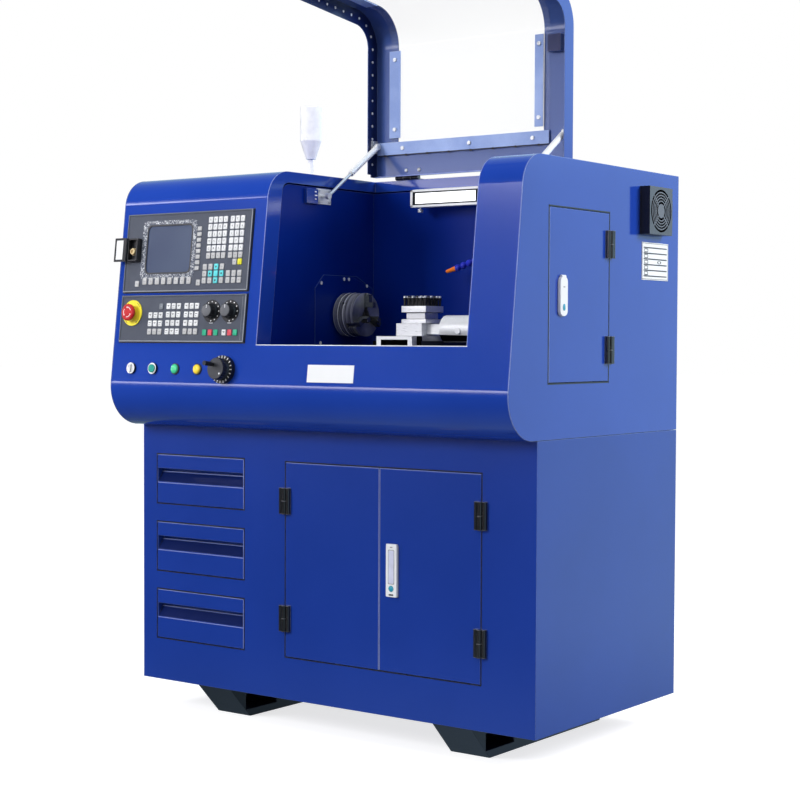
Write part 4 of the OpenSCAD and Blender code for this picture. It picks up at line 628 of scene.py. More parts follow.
def bracket_finish(c, n):
    """Blue switch that the lid's left edge passes, black lamp bracket, and bright strut plates."""
    at_switch = abs(c.y - (strut_y - 42.5)) < 22 and c.z > strut_z - 22
    if at_switch and c.x < win_x0 + 12:
        return BLUE
    at_lamp = abs(c.z - lamp_z) < 12 and lamp_lo.x - 5 < c.x < lamp_hi.x + 5
    return BLACK if at_lamp and c.y > lamp_y - 12 else ALU


def lamp_finish(c, n):
    """Glowing diffuser, a black edge round it, and a white housing."""
    front = c.y < lamp_lo.y + LAMP_FRONT
    if n.y > -0.5 and not front:
        return WHITE
    if abs(c.y - lamp_lo.y - 1) < 0.3:
        return LIT
    from_rim = min(c.x - lamp_lo.x, lamp_hi.x - c.x, LAMP_HALF - abs(c.z - lamp_z))
    return BLACK if front and from_rim > LAMP_RIM else WHITE


dressed("chamber_brackets", bracket_finish)
dressed("work_lamp", lamp_finish)
axis_y = front_y + 228
chuck_lo, chuck_hi = box_mm("chuck_body")
chuck_mid = middle(chuck_lo, chuck_hi)
# The black hub on the chuck's left end
HUB_R, HUB_LONG = 53.5, 20


def chuck_finish(c, n):
    in_hub = Vector((c.y - axis_y, c.z - chuck_mid.z)).length < HUB_R
    return BLACK if abs(n.x) < 0.5 and c.x < chuck_lo.x + HUB_LONG and in_hub else TURNED_RINGS_AND_GLINTS


dressed("chuck_body", chuck_finish)
head_lo, head_hi = box_mm("turret_head")
slide_lo = box_mm("cross_slide")[0]
post = middle(head_lo, head_hi)
BASE_PLATE = 23


def slide_finish(c, n):
    """Bright slide, with the shaded front of its base plate behind the saddle's frame."""
    if c.z > slide_lo.z + BASE_PLATE:
        return ALU if c.x > post.x + 20 else STEEL
    return SHADOW_BLACK if n.y < -0.5 and c.y < post.y else STEEL


dressed("cross_slide", slide_finish)
saddle_lo = box_mm("carriage")[0]
FRAME_DEEP = 17.8
frame_points = [v.co * 1000 for v in nodes["carriage"].data.vertices]
frame_points = [p for p in frame_points if p.y < saddle_lo.y + FRAME_DEEP / 2]
frame_x0, frame_x1 = min(p.x for p in frame_points), max(p.x for p in frame_points)
frame_z0, frame_z1 = min(p.z for p in frame_points), max(p.z for p in frame_points)


def saddle_finish(c, n):
    """Bright front frame, painted shadow in black inside its opening and on its back, and a dark cast slide
    behind it.
    """
    if c.y > saddle_lo.y + FRAME_DEEP + 0.7:
        return IRON
    inside = min(c.x - frame_x0, frame_x1 - c.x, c.z - frame_z0, frame_z1 - c.z) > 2
    return SHADOW_BLACK if c.y > saddle_lo.y + FRAME_DEEP or (inside and abs(n.y) < 0.5) else ALU


dressed("carriage", saddle_finish)
nozzle_lo = box_mm("coolant_nozzle")[0]
tip_x, tip_z = nozzle_lo.x + 30, nozzle_lo.z + 16
dressed("coolant_nozzle", lambda c, n: ORANGE if c.x < tip_x and c.z < tip_z else NOZZLE)
fan_lo, fan_hi = box_mm("fan_housing")
fan_mid = middle(fan_lo, fan_hi)
FAN_OPENING = 51


def fan_finish(c, n):
    if c.x <= fan_hi.x - 0.3 or n.x <= 0.5:
        return BLACK
    return FAN_GREY if hypot(c.y - fan_mid.y, c.z - fan_mid.z) > FAN_OPENING else GREY_PLASTIC


# Middle of the data port's box, and of the socket in it
port_x = left_x + 40
socket_x, SOCKET_S = port_x + 17, PORT_S - 4


def port_finish(c, n):
    in_sleeve = hypot(c.x - socket_x, c.y - SOCKET_S) < 9.3 and 6.9 < c.z < 12.5
    return BRASS if in_sleeve else BLACK_PLASTIC


dressed("fan_housing", fan_finish)
dressed("headstock_cover", lambda c, n: WHITE if c.x > win_x0 + SHEET + 2.3 else CHAMBER_SHADE)
dressed("port_box", port_finish, fascia(0, 0))
dressed("handwheel", lambda c, n: DARK_GREY if n.z > 0.6 and c.z > 31 else BLACK_PLASTIC, PANEL)

# -------- seams, painted edge highlights and gaskets
SEAM = 1.5
EDGE_LOW, EDGE_TOP = -0.4, 0.15
# Width of a hinge's barrel with the gap beside it
HINGE_W = 6.75
gaskets = Part("door_gaskets")


def outlined(node, place, area, sides, gasket=2):
    """Dark gasket round an opening, and pale lines on the edges of the panel that fills it, which are painted
    highlights.
    """
    x0, x1, y0, y1 = area
    opening = (x0 - SEAM, x1 + SEAM, y0 - SEAM, y1 + SEAM)
    gaskets.edging(place, opening, -gasket, EDGE_LOW, 0.12, "lrbt", BLACK)
    rim = Part(node + "_edges")
    rim.edging(place, area, 1.6, EDGE_LOW, EDGE_TOP, sides, PALE_HIGHLIGHT)
    return rim


def area_of(node, axis, start, end):
    """Span of a door along X (0) or Y (1), less what lies past its two edges, and its height."""
    low, high = box_mm(node)
    return low[axis] + start, high[axis] - end, low.z, high.z


for name in DRAWERS:
    x0, x1, z0, z1 = area_of(name, 0, 1.2, 1.2)
    rim = outlined(name, FRONT, (x0, x1, z0, z1), "tr")
    # Pale lines below the finger grip and along the back of its slope, as painted highlights
    rim.box(FRONT, (x0 + 2, z0 + 51, EDGE_LOW), (x1 - 2, z0 + 52.8, EDGE_TOP), PALE_HIGHLIGHT)
    slope = moved(0, front_y, z0 + GRIP_Z) @ Matrix.Rotation(atan2(GRIP_HIGH, GRIP_DEEP), 4, "X")
    rim.box(slope, (x0 + 2, 28.6, -0.3), (x1 - 2, 30.5, 0.2), PALE_HIGHLIGHT)
    rim.done(name)
outlined("left_door", FRONT, area_of("left_door", 0, HINGE_W, 0), "tr").done("left_door")
outlined("right_door", FRONT, area_of("right_door", 0, 0, HINGE_W), "tl").done("right_door")
outlined("side_door", SIDE, area_of("side_door", 1, 0, HINGE_W), "l", 3).done("side_door")
REAR_DOOR_W = 557
door_lo, door_hi = box_mm("rear_door")
rear_area = (-door_lo.x - REAR_DOOR_W, -door_lo.x, door_lo.z, door_hi.z)
outlined("rear_door", BACK, rear_area, "rt").done("rear_door")

# Quarter-turn lock of the rear door, and the screws of the rear panel
lock = Part("rear_door_lock")
at = BACK @ moved(-door_lo.x - 26, middle(door_lo.z, door_hi.z), 0)
lock.turned(at, [(13, -0.2), (13, 1.6), (11.6, 2.6), (9.4, 2.6), (8.8, 1.8), (0.1, 1.8)], BLACK, 32)
lock.turned(at, [(8.2, 1.7), (8.2, 3), (7.6, 3.4), (0.1, 3.4)], STEEL, 28)
lock.box(at, (-1.1, -6.5, 3.3), (1.1, 6.5, 3.5), BLACK)
lock.done("rear_door")
screws = Part("rear_panel_screws")
low, high = box_mm("rear_panel")
SCREW_IN, SCREWS_ALONG, SCREWS_UP = 14, 8, 4
x0, x1, z0, z1 = low.x + SCREW_IN, high.x - SCREW_IN, low.z + SCREW_IN, high.z - SCREW_IN
spots = []
for i in range(SCREWS_ALONG + 1):
    x = x0 + (x1 - x0) * i / SCREWS_ALONG
    spots.append((x, z0))
    if x < door_lo.x - 20:
        spots.append((x, z1))
spots += [(x0, z0 + (z1 - z0) * i / SCREWS_UP) for i in range(1, SCREWS_UP)]
for x, z in spots:
    at = BACK @ moved(-x, z, 0)
    screws.dome(at, 4.2, 2.2, STEEL, 16, -0.2)
    screws.arc(at, 3.9, 6.4, 0, 360, -0.1, 0.35, STEEL, 18)
screws.done("rear_panel")
gaskets.done("cabinet")


def bend_middle(radius, z):
    """Middle (y, z), at a height, of a bend that touches the front skin."""
    return Vector((front_y - NOSE + (z - enc_z) * tan(SLANT) + radius / COS, z))


def bend(mid, radius, start, stop, steps):
    """Points (y, z) and outward directions round a bend, between two angles in radians."""
    made = []
    for i in range(steps + 1):
        y, z = polar(1, start + (stop - start) * i / steps)
        made.append((mid.x + radius * y, mid.y + radius * z, y, z))
    return made


# The front skin from the sill over the top bend to the roof, and the whole side view
ROOF_BACK = 60
foot = fascia(0, SILL).translation
top_bend = bend(bend_middle(BEND_TOP, top_z - BEND_TOP), BEND_TOP, pi - SLANT, pi / 2, 14)
low_bend = bend(bend_middle(BEND_LOW, enc_z + BEND_LOW), BEND_LOW, pi * 1.5, pi - SLANT, 16)
window_side = [(foot.y, foot.z, -COS, SIN)] + top_bend + [(ROOF_BACK, top_z, 0, 1)]
skin_side = low_bend + window_side[1:]
# Pale lines along the side edges of the front skin and of the window, a dim one on the left edge, and a white
# line along the sill: painted highlights
edges = Part("window_edges")
edges.band(right_x - 1.7, right_x, skin_side, 0.2, PALE_HIGHLIGHT)
edges.band(left_x, left_x + 1.7, skin_side, 0.2, DIM_HIGHLIGHT)
edges.band(win_x0 - 1.8, win_x0 - 0.1, window_side, 0.2, PALE_HIGHLIGHT)
edges.band(win_x1 + 0.1, win_x1 + 1.8, window_side, 0.2, PALE_HIGHLIGHT)
edges.box(fascia(0, SILL), (win_x0 - 1.8, -2, -0.3), (win_x1 + 1.8, -0.1, 0.25), WHITE)
edges.done("enclosure_wrap")

low, high = box_mm("headstock_cover")
cover = [(low.y, low.z), (low.y, high.z - 35), (low.y + 34, high.z), (high.y - 66, high.z),
         (high.y, high.z - 30), (high.y, low.z)]
# Dim lines along the outline of the headstock cover: painted highlight
line = Part("cover_edge_highlight")
for (y0, z0), (y1, z1) in zip(cover, cover[1:]):
    turn = Matrix.Rotation(atan2(z1 - z0, y1 - y0), 4, "Z")
    at = moved(win_x0 + SHEET, y0, z0) @ FACING_X @ turn
    line.box(at, (0, -1.3, -0.3), (hypot(y1 - y0, z1 - z0), 0, 0.2), DIM_HIGHLIGHT)
line.done("headstock_cover")

# Two bright rings round the chuck's body: painted highlight lines
chuck = Part("chuck_highlight_rings")
chuck_r = (chuck_hi.y - chuck_lo.y) / 2
for x in (14, 30):
    at = moved(chuck_lo.x + x, chuck_mid.y, chuck_mid.z) @ TO_X
    chuck.ring(at, circle(chuck_r + 0.25, 64), circle(chuck_r - 1, 64), 0, 1.7, ALU)
chuck.done("chuck_body")

# -------- tool turret
turret = Part("turret_head_body")
at = moved(post.x, post.y, head_lo.z)
half = (head_hi.x - head_lo.x) / 2
# Plates of the tool post: inset, lowest and highest level, finish and broken edge
POST_PLATES = ((0, 0, 9.4, STEEL, 0.8), (9, 9.2, 26.4, STEEL, 0), (2, 9.4, 10.4, BLACK, 0),
               (0, 26.2, 41, STEEL, 0.8), (2, 24.8, 26.2, BLACK, 0), (14, 40.8, 60, BLACK, 1))
for inset, z0, z1, finish, edge in POST_PLATES:
    reach = half - inset
    turret.box(at, (-reach, -reach, z0), (reach, reach, z1), finish, edge)
# Tool screws in black sleeves, along all four sides
TOOL_SCREWS, TOOL_SCREW_IN = 5, 6
for k in range(4):
    for i in range(TOOL_SCREWS):
        reach = half - TOOL_SCREW_IN
        spot = at @ rotated(90 * k, "Z") @ moved(-reach + i * 2 * reach / TOOL_SCREWS, -reach, 0)
        turret.turned(spot, [(3.1, 40.8), (3.1, 55), (4.6, 55), (4.6, 60.5)], BLACK, 8)
        head = [(3.4, 60.4), (3.4, 64.2), (2.8, 65.2), (0.1, 65.2)]
        turret.turned(spot, head, HINGE if i % 2 else STEEL, 10)
turret.done("turret_head", True)

# -------- keys
keys = Part("key_caps")
KEY = (13, 14.5)
# Panel, middle of the block from the panels' left end and from the panel's middle, pitch to the right
# and down, size of a key, finishes row by row, and legends. An o is a cyan key with a dot
BLOCKS = [
    (HMI_S, 309.5, 32, 16.3, 17.7, KEY, ["wwww"] * 5 + ["gggg"], "ABCDEFGHIJKLMNOPQRST"),
    (HMI_S, 373, 32, 16.3, 17.7, KEY, ["www"] * 5 + ["ggg"], "789456123-0./+="),
    (HMI_S, 381, -29, 16.3, 17.7, KEY, ["gy"], ""),
    (HMI_S, 305, -56.5, 18.7, 16.7, KEY, ["ggog", "goco", "ggog"], ""),
    (HMI_S, 373, -65, 18.2, 16.7, KEY, ["ggg", "ggg"], ""),
    (HMI_S, 150.5, -72, 21.6, 16.7, (14, 17), ["gggggggg"], ""),
    (HMI_S, 250, 7, 16.3, 14, (14, 10), ["g"] * 8, ""),
    (HMI_S, 153.5, -78, 209, 16.7, KEY, ["gg"], ""),
    (OP_S, 123, -12.5, 17.5, 20.5, KEY, ["www", "www", "ggg"], ""),
    (OP_S, 140.5, 30, 17.5, 20.5, KEY, ["d"], ""),
    (OP_S, 183, -1, 17.5, 21, KEY, ["www"] * 4, ""),
    (OP_S, 244, -1, 17.5, 21, KEY, ["www"] * 3 + ["ggg"], ""),
    (OP_S, KNOB_X, -35, 18.5, 20, KEY, ["nrn"], ""),
    (OP_S, 374, -35, 18, 20, KEY, ["wrn"], ""),
]
KEY_FOOT, KEY_TOP = 4, 6.2
# Inset of each layer of a key's outline, its corner radius and its height
KEY_LAYERS = ((0, 1.6, KEY_FOOT), (0, 1.6, KEY_TOP - 0.7), (0.3, 1.4, KEY_TOP - 0.2), (0.9, 1, KEY_TOP))
INK_LOW, INK_TOP = KEY_TOP - 0.1, KEY_TOP + 0.1
for s, x, up, px, py, (kw, kh), rows, legend in BLOCKS:
    for j, row in enumerate(rows):
        for i, kind in enumerate(row):
            over = (i - (len(row) - 1) / 2) * px
            down = (j - (len(rows) - 1) / 2) * py
            at = fascia(panel_x + x + over, s + up - down)
            layers = [(rounded(kw - 2 * inset, kh - 2 * inset, r, 3), z) for inset, r, z in KEY_LAYERS]
            keys.loft(at, layers, KEY_FINISHES[kind])
            k = j * len(row) + i
            if kind == "o":
                keys.turned(at, [(2.6, INK_LOW), (2.6, INK_TOP + 0.02)], INK, 12)
            elif k < len(legend):
                keys.sign(at, legend[k], 7.5, INK, KEY_TOP + 0.06)
            elif kind == "w":
                # Plain bar and dot in place of each machine symbol
                keys.box(at, (-3.6, 1.2, INK_LOW), (3.6, 2.6, INK_TOP), INK)
                if (i + j) % 2:
                    keys.box(at, (-3.6, -3.4, INK_LOW), (0.4, -2.2, INK_TOP), INK_GREY)
                else:
                    keys.turned(at, [(1.5, INK_LOW), (1.5, INK_TOP)], INK_GREY, 10)
            elif kh > 11 and kind in "gd":
                keys.box(at, (-3, -0.7, INK_LOW), (3, 0.7, INK_TOP), INK_GREY)
keys.done("panel_keys", True)

# -------- display and panel trim
trim = Part("panel_trim")
view = fascia(panel_x + 149, HMI_S + 8)
VIEW_W, VIEW_H = 154, 122
film_hole = rounded(VIEW_W - 3, VIEW_H - 3, 13, 6)
trim.ring(view, rounded(VIEW_W + 30, VIEW_H + 24, 10, 6, (-1, -1)), film_hole, 3.8, 4.45, CRINKLED)
bezel = rounded(VIEW_W + 3, VIEW_H + 3, 14, 6)
trim.ring(view, bezel, rounded(VIEW_W - 5, VIEW_H - 5, 12, 6), 4.3, 4.8, DARK_GREY)
trim.box(fascia(panel_x, OP_S), (407.4, -54, 3.9), (408.6, 54, 4.3), KEY_DIM)
# Each panel's border gets pale strips on its bottom and right and dim ones on its left and top, which are
# painted highlight and painted shade, and a black strip outside its bottom and right, which is a painted
# shadow
for s, top in ((HMI_S, HMI_HALF), (OP_S, OP_HALF)):
    at = fascia(panel_x, s)
    border = (0.8, PANEL_W - 0.8, 0.6 - top, top - 0.6)
    trim.edging(at, border, 2.4, 4.7, 5.15, "br", RIM_HIGHLIGHT)
    trim.edging(at, border, 1.2, 4.7, 5.15, "lt", KEY_DIM)
    trim.edging(at, (0, PANEL_W, -top, top), -2.6, -0.3, 0.3, "br", BLACK)
trim.done("control_panels")

# -------- knobs, buttons and handwheel
marks = Part("panel_marks")
DIAL_R, DIAL_STEP = 23.4, 30
for k, node in enumerate(("feed_knob", "speed_knob")):
    at = fascia(panel_x + KNOB_X + KNOB_PITCH * k, KNOB_S)
    knob = Part(node + "_body")
    flutes = fluted(17, 16.1, 48)
    layers = [(circle(19, 48), 5.3), (circle(19, 48), 6.6), (circle(17.2, 48), 9.4), (flutes, 9.8),
              (flutes, 23.2), (scaled(flutes, 0.93, 0.93), 24.3)]
    knob.loft(at, layers, BLACK_PLASTIC)
    knob.turned(at, [(14.4, 24.2), (14.4, 24.6), (13.9, 24.8)], GREY_PLASTIC, 40)
    knob.box(at, (-0.8, 5.5, 24.7), (0.8, 13.6, 25), WHITE)
    knob.done(node, True)
    for i in range(9):
        x, y = polar(DIAL_R, radians(150 - DIAL_STEP * i))
        marks.turned(at @ moved(x, y, 0), [(1.75, 4.9), (1.75, 5.2)], WHITE, 10)
    marks.box(at, (-6, -29.4, 3.9), (6, -28, 4.15), WHITE)
wheel = fascia(panel_x + WHEEL_X, BUTTON_S)
for i in range(20):
    marks.box(wheel @ rotated(18 * i, "Z"), (27.8 if i % 5 else 26.8, -1.1, 11.9), (33.8, 1.1, 12.2), WHITE)
estop = fascia(panel_x + ESTOP_X, OP_S + 14)
for i in range(4):
    marks.arc(estop, 28.2, 29.4, 45 + 90 * i - 14, 45 + 90 * i + 14, 6.4, 6.65, INK)
marks.done("panel_rings")

# Three turning arrows on the mushroom: a curved shaft, and a head from its tip to both back corners
ESTOP_TOP = 25
ARROW_LOW, ARROW_TOP = ESTOP_TOP - 0.05, ESTOP_TOP + 0.2
arrows = Part("estop_arrows")
for i in range(3):
    turn = 120 * i + 20
    arrows.arc(estop, 11.4, 13.2, turn, turn + 72, ARROW_LOW, ARROW_TOP, WHITE)
    head = [polar(r, radians(turn + a)) for r, a in ((12.3, 86), (15.2, 70), (9.4, 70))]
    arrows.plate(estop, head, ARROW_LOW, ARROW_TOP, WHITE)
arrows.done("estop_mushroom")

ribs = Part("handwheel_rim")
ribs.ring(wheel, fluted(26.6, 25.2, 96), circle(24.6, 96), 20, 31.5, BLACK_PLASTIC)
ribs.done("handwheel")
lamps = Part("pilot_domes")
for b, lens in ((2, GREEN), (3, AMBER)):
    at = fascia(panel_x + BUTTON_X + BUTTON_PITCH * b, BUTTON_S)
    lamps.turned(at, [(14, 0), (14, 2.2), (13.4, 3), (11.8, 3)], DARK_GREY, 36)
    dome = [(11.5, 3), (11.5, 4.2), (11, 5.6), (9.4, 6.9), (6.6, 7.6), (3, 7.95), (0.1, 8)]
    lamps.turned(at, dome, lens, 36)
lamps.done("pilot_lamps", True)
slot_mark = Part("selector_mark")
slot_mark.box(fascia(panel_x + BUTTON_X, BUTTON_S), (-0.7, 1, 11.25), (0.7, 8.2, 11.45), INK)
slot_mark.done("selector_switch")
grip_mark = Part("handwheel_mark")
grip_mark.turned(wheel @ moved(14, -12, 0), [(2.4, 33.2), (2.4, 33.5)], WHITE, 14)
grip_mark.done("handwheel")

# -------- data port and lamp on the roof
plug = Part("port_plug")
profile = [(6.2, 8), (6.2, 12), (8.2, 12.4), (8.2, 17.2), (7.4, 18.4), (4.6, 18.4), (4.4, 15), (0.1, 15)]
plug.turned(fascia(socket_x, SOCKET_S), profile, BRASS, 28)
plug.done("port_box")
label = Part("port_label")
FLAP_OUT = 20.8
flap = fascia(port_x - 2.5, PORT_S)
label.box(flap, (-35.5, -24.5, FLAP_OUT + 0.4), (-11.5, 24.5, FLAP_OUT + 0.62), WHITE)
label.done("port_flap")
lens = Part("signal_rings")
low, high = box_mm("signal_lamp")
at = moved(middle(low.x, high.x), middle(low.y, high.y), 0)
r = (high.x - low.x) / 2
profile = [(r - 0.4, high.z - 0.4), (r - 1.6, high.z + 1.2), (r - 7, high.z + 2.6), (0.1, high.z + 3)]
lens.turned(at, profile, SIGNAL, 40)
lens.done("signal_lamp")

# -------- lid: rivets, screws, strut ends
LID_BEND = 95
RIVET_DEPTH, RIVET_PITCH = 22, 32.6
# Rivets run along the lid's sides, at one depth below its skin, but not where the stud plates are
lid_c = bend_middle(LID_BEND, top_z - LID_BEND)
foot = fascia(0, SILL + 24, -RIVET_DEPTH).translation
turns = bend(lid_c, LID_BEND - RIVET_DEPTH, pi / 2, pi - SLANT, 12)
trail = [Vector((lid_ay - 36, top_z - RIVET_DEPTH))] + [Vector(turn[:2]) for turn in turns]
trail.append(Vector((foot.y, foot.z)))


def walked(points, pitch):
    """Points at an even pitch along a broken line."""
    made, left = [], 0
    for a, b in zip(points, points[1:]):
        length = (b - a).length
        at = left
        while at < length:
            made.append(a + (b - a) * at / length)
            at += pitch
        left = at - length
    return made


def from_walls(gap, x0, x1):
    """Place near a left wall with the turn that faces right, and the mirrored pair near a right wall."""
    return (x0 + gap, rotated(90, "Y")), (x1 - gap, rotated(-90, "Y"))


rivets = Part("lid_rivets")
for x, turn in from_walls(SHEET, lid_x0, lid_x1):
    for q in walked(trail, RIVET_PITCH):
        if hypot(q.x - stud_y, q.y - stud_z) > 20:
            rivets.dome(LID @ moved(x, q.x, q.y) @ turn, 3.4, 1.6, WHITE, 12, -0.1)
under = LID @ moved(0, 0, top_z - SHEET) @ rotated(180, "X")
for x in (lid_x0 + 96, lid_x0 + 136):
    rivets.dome(under @ moved(x, 18 - lid_ay, 0), 5, 3.4, STEEL, 16, -0.1)
# Black blocks along the pane's rear edge, which stand for the shadows of small screws, and the black line
# behind them
end_y = lid_ay - 59
for i in range(8):
    x = lid_x0 + 30 + 66 * i
    rivets.box(LID, (x, end_y - 1, PANE_BACK - 2.2), (x + 5, end_y + 4, PANE_BACK), BLACK)
rivets.box(LID, (lid_x0 + 8, end_y - 0.2, PANE_BACK - 2.1), (lid_x1 - 62, end_y + 1.6, PANE_BACK), BLACK)
# A pale line along the lid's rear edge: painted highlight
rear_edge = (lid_x0, lid_x1, lid_ay - 5.4, lid_ay - 2.8)
rivets.edging(LID @ moved(0, 0, top_z - 12), rear_edge, 2.6, -0.3, 0.1, "t", PALE_HIGHLIGHT)
rivets.done("lid_frame")

bolts = Part("strut_plate_bolts")
HEX_SOCKET = [(4, -0.2), (4, 2.6), (3.4, 3.2), (2.2, 3.2), (2, 1.6), (0.1, 1.6)]
for x, turn in from_walls(3, win_x0, win_x1):
    for dy, dz in ((-13, -13), (-13, 13), (29, -13), (29, 13)):
        bolts.turned(moved(x, strut_y + dy, strut_z + dz) @ turn, HEX_SOCKET, STEEL, 6)
# Plain lines in place of the lettering on the switch
for i in range(3):
    at = moved(win_x0 + 8.5, strut_y - 34, strut_z - 10 + 9 * i) @ FACING_X
    bolts.box(at, (0, 0, -0.2), (7 + 3 * (i % 2), 3, 0.2), WHITE)
bolts.done("chamber_brackets")
lid_bolts = Part("lid_plate_bolts")
for x, turn in from_walls(SHEET + 3, lid_x0, lid_x1):
    for dy in (-11.5, 11.5):
        at = LID @ moved(x, stud_y + dy, stud_z - 7) @ turn
        lid_bolts.turned(at, [(3.4, -0.2), (3.4, 2.4), (2.9, 2.9), (0.1, 2.9)], STEEL, 12)
lid_bolts.done("lid_fittings")


# -------- swing handles
def swing_handle(node, tall):
    """White flush handle: the tall one on the front, or the small one on the side."""
    low, high = box_mm(node)
    h = high.z - low.z
    if tall:
        w, at = high.x - low.x, moved(middle(low.x, high.x), front_y, high.z) @ TO_FRONT
    else:
        w, at = high.y - low.y, moved(right_x, middle(low.y, high.y), high.z) @ FACING_X
    piece = Part(node + "_body")
    reach, pin = h - 3.6, 3.8
    mid = (0, -3.6 - reach / 2)
    turn = 2.6 if tall else w * 0.42
    plate = rounded(w, reach, turn, 6, mid)
    crown = rounded(w - 1.6, reach - 1.6, turn * 0.9, 6, mid)
    piece.loft(at, [(plate, 0.3), (plate, 5.6), (crown, 7)], WHITE)
    span = w - 2 if tall else w - 15
    piece.turned(at @ moved(-span / 2, -pin, pin) @ TO_X, [(3.3, 0), (3.3, span)], WHITE, 20)
    if tall:
        # Recess in two shades down the middle
        for shrink, z0, z1, finish in ((0, 6.8, 7.15, INK_GREY), (3, 6.9, 7.35, LAVENDER)):
            outline = rounded(w - 14 - shrink, h - 44 - shrink, 2.4, 4, (0, -h / 2 + 8))
            piece.plate(at, outline, z0, z1, finish)
    # Coloured button, with a dark line below it on the tall handle, and a small mark near the top
    oval = scaled(circle(7.2 if tall else 5.2, 28), 1, 1 if tall else 1.5)
    here = at @ moved(0, -h + w * 0.62, 0)
    piece.loft(here, [(oval, 6.8), (oval, 7.6), (scaled(oval, 0.8, 0.8), 8.1)], AQUA)
    if tall:
        piece.box(at, (-6.5, -h + 3.6, 6.8), (6.5, -h + 7.2, 7.25), INK)
    mark = -7 if tall else -26
    piece.box(at, (-3.5, mark - 2.5, 6.8), (3.5, mark, 7.3), INK_GREY)
    piece.done(node, True)


swing_handle("right_door_handle", True)
swing_handle("side_door_handle", False)

# -------- chart on the right side
chart = Part("chart_lines")
CHART_W, CHART_H, LINE_PITCH = 132, 90, 13.6
INK_Z0, INK_Z1 = 1.15, 1.4
at = moved(right_x, front_y + 464, top_z - 260) @ FACING_X
chart.edging(at, (1.5, CHART_W - 1.5, 1.5, CHART_H - 1.5), 1.6, INK_Z0, 1.35, "lrbt", INK_GREY)
for i in range(6):
    z = 8 + i * LINE_PITCH
    chart.box(at, (8, z, INK_Z0), (CHART_W - 8, z + 3, INK_Z1), INK)
    if i < 5:
        icon = at @ moved(20, z + 8.3, 0)
        chart.ring(icon, rounded(19, 9, 2.5, 3), rounded(15, 5.4, 1.2, 3), INK_Z0, INK_Z1, INK)
oval = scaled(circle(1, 20), 5, 3)
chart.ring(at @ moved(86, 8 + 2 * LINE_PITCH + 8.3, 0), scaled(oval, 2, 1.3), oval, INK_Z0, INK_Z1, INK)
chart.done("plates")

# -------- work lamp: clamp screw and white rim
knob = Part("work_lamp_screw")
at = moved(lamp_lo.x + 24, lamp_y + 2, lamp_z - LAMP_HALF)
profile = [(3, 0.5), (3, -4), (6.4, -4), (6.8, -5), (6.8, -11), (6, -12), (0.1, -12)]
knob.turned(at, profile, STEEL, 20)
rim_at = moved(0, lamp_lo.y, 0) @ TO_FRONT
glass = (lamp_lo.x + 4.2, lamp_hi.x - 4.2, lamp_z - LAMP_HALF, lamp_z + LAMP_HALF)
knob.edging(rim_at, glass, 5.6, -2, 0.2, "bt", WHITE)
knob.edging(rim_at, glass, 6.5, -2, 0.2, "lr", WHITE)
knob.done("work_lamp")

# -------- stage and light
FLOOR = 40
floor_mesh = bpy.data.meshes.new("floor")
floor_corners = [(x * FLOOR, y * FLOOR, 0) for x, y in ((-1, -1), (1, -1), (1, 1), (-1, 1))]
floor_mesh.from_pydata(floor_corners, [], [(0, 1, 2, 3)])
floor = placed("floor", floor_mesh)
RIGHT_BACK = (0.595, 0.804, 0)
MIRROR_TINT = (0.66, 0.95, 1.12)


def by_ray(graph, direct, indirect, glossy):
    """Shader that is chosen by ray: from the camera or through glass, then the rest, then reflections."""
    path = graph.add("LightPath", {})
    sides = {0: path["Is Camera Ray"], 1: path["Is Transmission Ray"]}
    seen = graph.add("Math", sides, operation="MAXIMUM")[0]
    return graph.mixed(path["Is Glossy Ray"], graph.mixed(seen, indirect, direct), glossy)


def side_ramp(graph, vector, start, end, dark, bright):
    """Brightness that grows towards the right and back of the studio."""
    span = {"From Min": start, "From Max": end, "To Min": dark, "To Max": bright}
    return graph.fit(graph.dot(vector, RIGHT_BACK), span, interpolation_type="SMOOTHSTEP")


# The floor is white to the eye, dim for the light that it gives back, and a gradient in reflections
floor_mat, on_floor, bsdf = shader("floor_white")
on_floor.fill(bsdf, {"Base Color": (0.55, 0.55, 0.56, 1), "Roughness": 0.9, "Specular IOR Level": 0})
white_floor = on_floor.added(bsdf.outputs[0], on_floor.add("Emission", {"Strength": 0.74})[0])
dim_floor = on_floor.add("BsdfDiffuse", {"Color": (0.32, 0.32, 0.33, 1)})[0]
floor_spot = on_floor.add("NewGeometry", {})["Position"]
floor_shine = side_ramp(on_floor, floor_spot, -2, 2.6, 0.015, 0.95)
mirrored = on_floor.add("Emission", {"Color": (*MIRROR_TINT, 1), "Strength": floor_shine})[0]
floor_look = by_ray(on_floor, white_floor, dim_floor, mirrored)
on_floor.fill(on_floor.nodes["Material Output"], {"Surface": floor_look})
floor.data.materials.append(floor_mat)

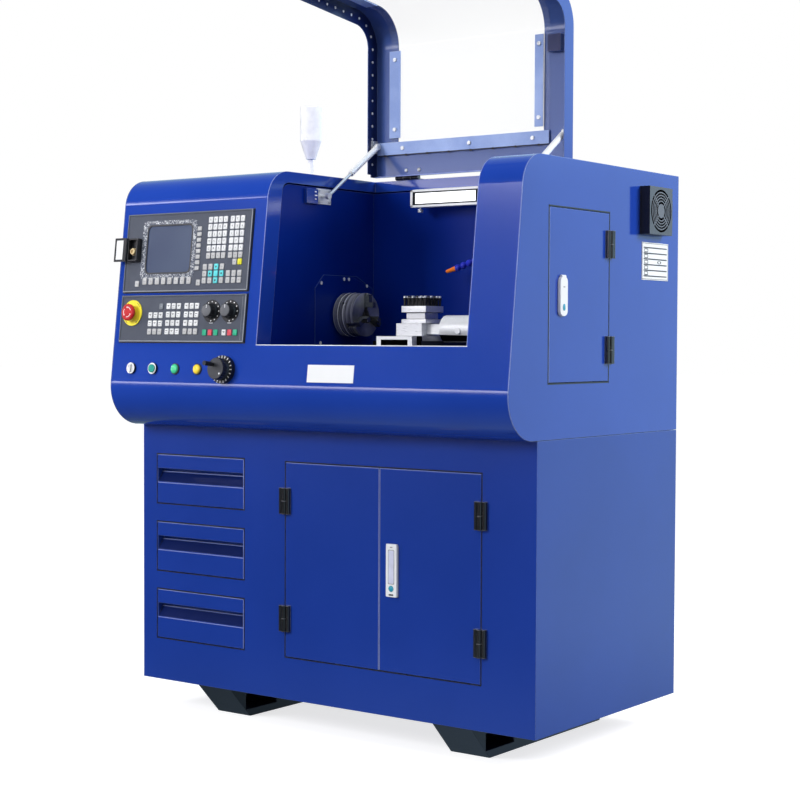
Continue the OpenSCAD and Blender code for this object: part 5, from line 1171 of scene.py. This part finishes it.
world = bpy.data.worlds.new("studio")
scene.world = world
studio = Graph(world)
studio.fill(studio.nodes["Background"], {"Color": (0.96, 0.98, 1, 1), "Strength": 0.56})
direction = studio.add("TexCoord", {})["Generated"]
height = studio.add("SeparateXYZ", {0: direction})["Z"]
BAND_FADE = 0.012


def computed(operation, first, second):
    return studio.add("Math", {0: first, 1: second}, operation=operation)[0]


def sky_band(low, high, side, strength):
    """Long soft strip on the studio wall: between two heights, where the side ramp is above zero."""
    rise = studio.fit(height, {"From Min": low - BAND_FADE, "From Max": low + BAND_FADE})
    fall = studio.fit(height, {"From Min": high + BAND_FADE, "From Max": high - BAND_FADE})
    along = side_ramp(studio, direction, *side, 0, strength)
    return computed("MULTIPLY", computed("MULTIPLY", rise, fall), along)


def backdrop(color, strength):
    return studio.add("Background", {"Color": (*color, 1), "Strength": strength})[0]


# What reflections see of the studio: a gradient, two strips at the front left and a glow at the back
FRONT_LEFT, RIGHT_REAR = (-0.4, -0.7), (0.2, 0.7)
strips = computed("ADD", sky_band(0.040, 0.095, FRONT_LEFT, 7), sky_band(0.290, 0.350, FRONT_LEFT, 8))
shine = studio.added(backdrop(MIRROR_TINT, side_ramp(studio, direction, -0.75, 0.9, 0.012, 1)),
                     backdrop((0.96, 0.94, 1), strips))
shine = studio.added(shine, backdrop((0.35, 0.60, 1), sky_band(0.110, 2, RIGHT_REAR, 1.2)))
soft = studio.nodes["Background"].outputs[0]
sky_look = by_ray(studio, backdrop((1, 1, 1), 1), soft, shine)
studio.fill(studio.nodes["World Output"], {"Surface": sky_look})


def area_light(name, size, power, place, target):
    """Rectangular light that doesn't show in reflections."""
    data = bpy.data.lights.new(name, "AREA")
    data.shape = "RECTANGLE"
    data.size, data.size_y = size
    data.energy = power
    light = placed(name, data)
    light.location = place
    light.rotation_euler = (Vector(target) - Vector(place)).to_track_quat("-Z", "Y").to_euler()
    light.visible_glossy = False


area_light("key", (1.6, 1.6), 172, (-2.4, -4.2, 2.6), (0, 0, 0.9))
area_light("right", (1.6, 1.6), 125, (3.4, 1.5, 2.6), (0.5, 0, 1.1))
area_light("top", (2, 1.2), 30, (0.2, -1, 3.6), (0, 0, 0.9))
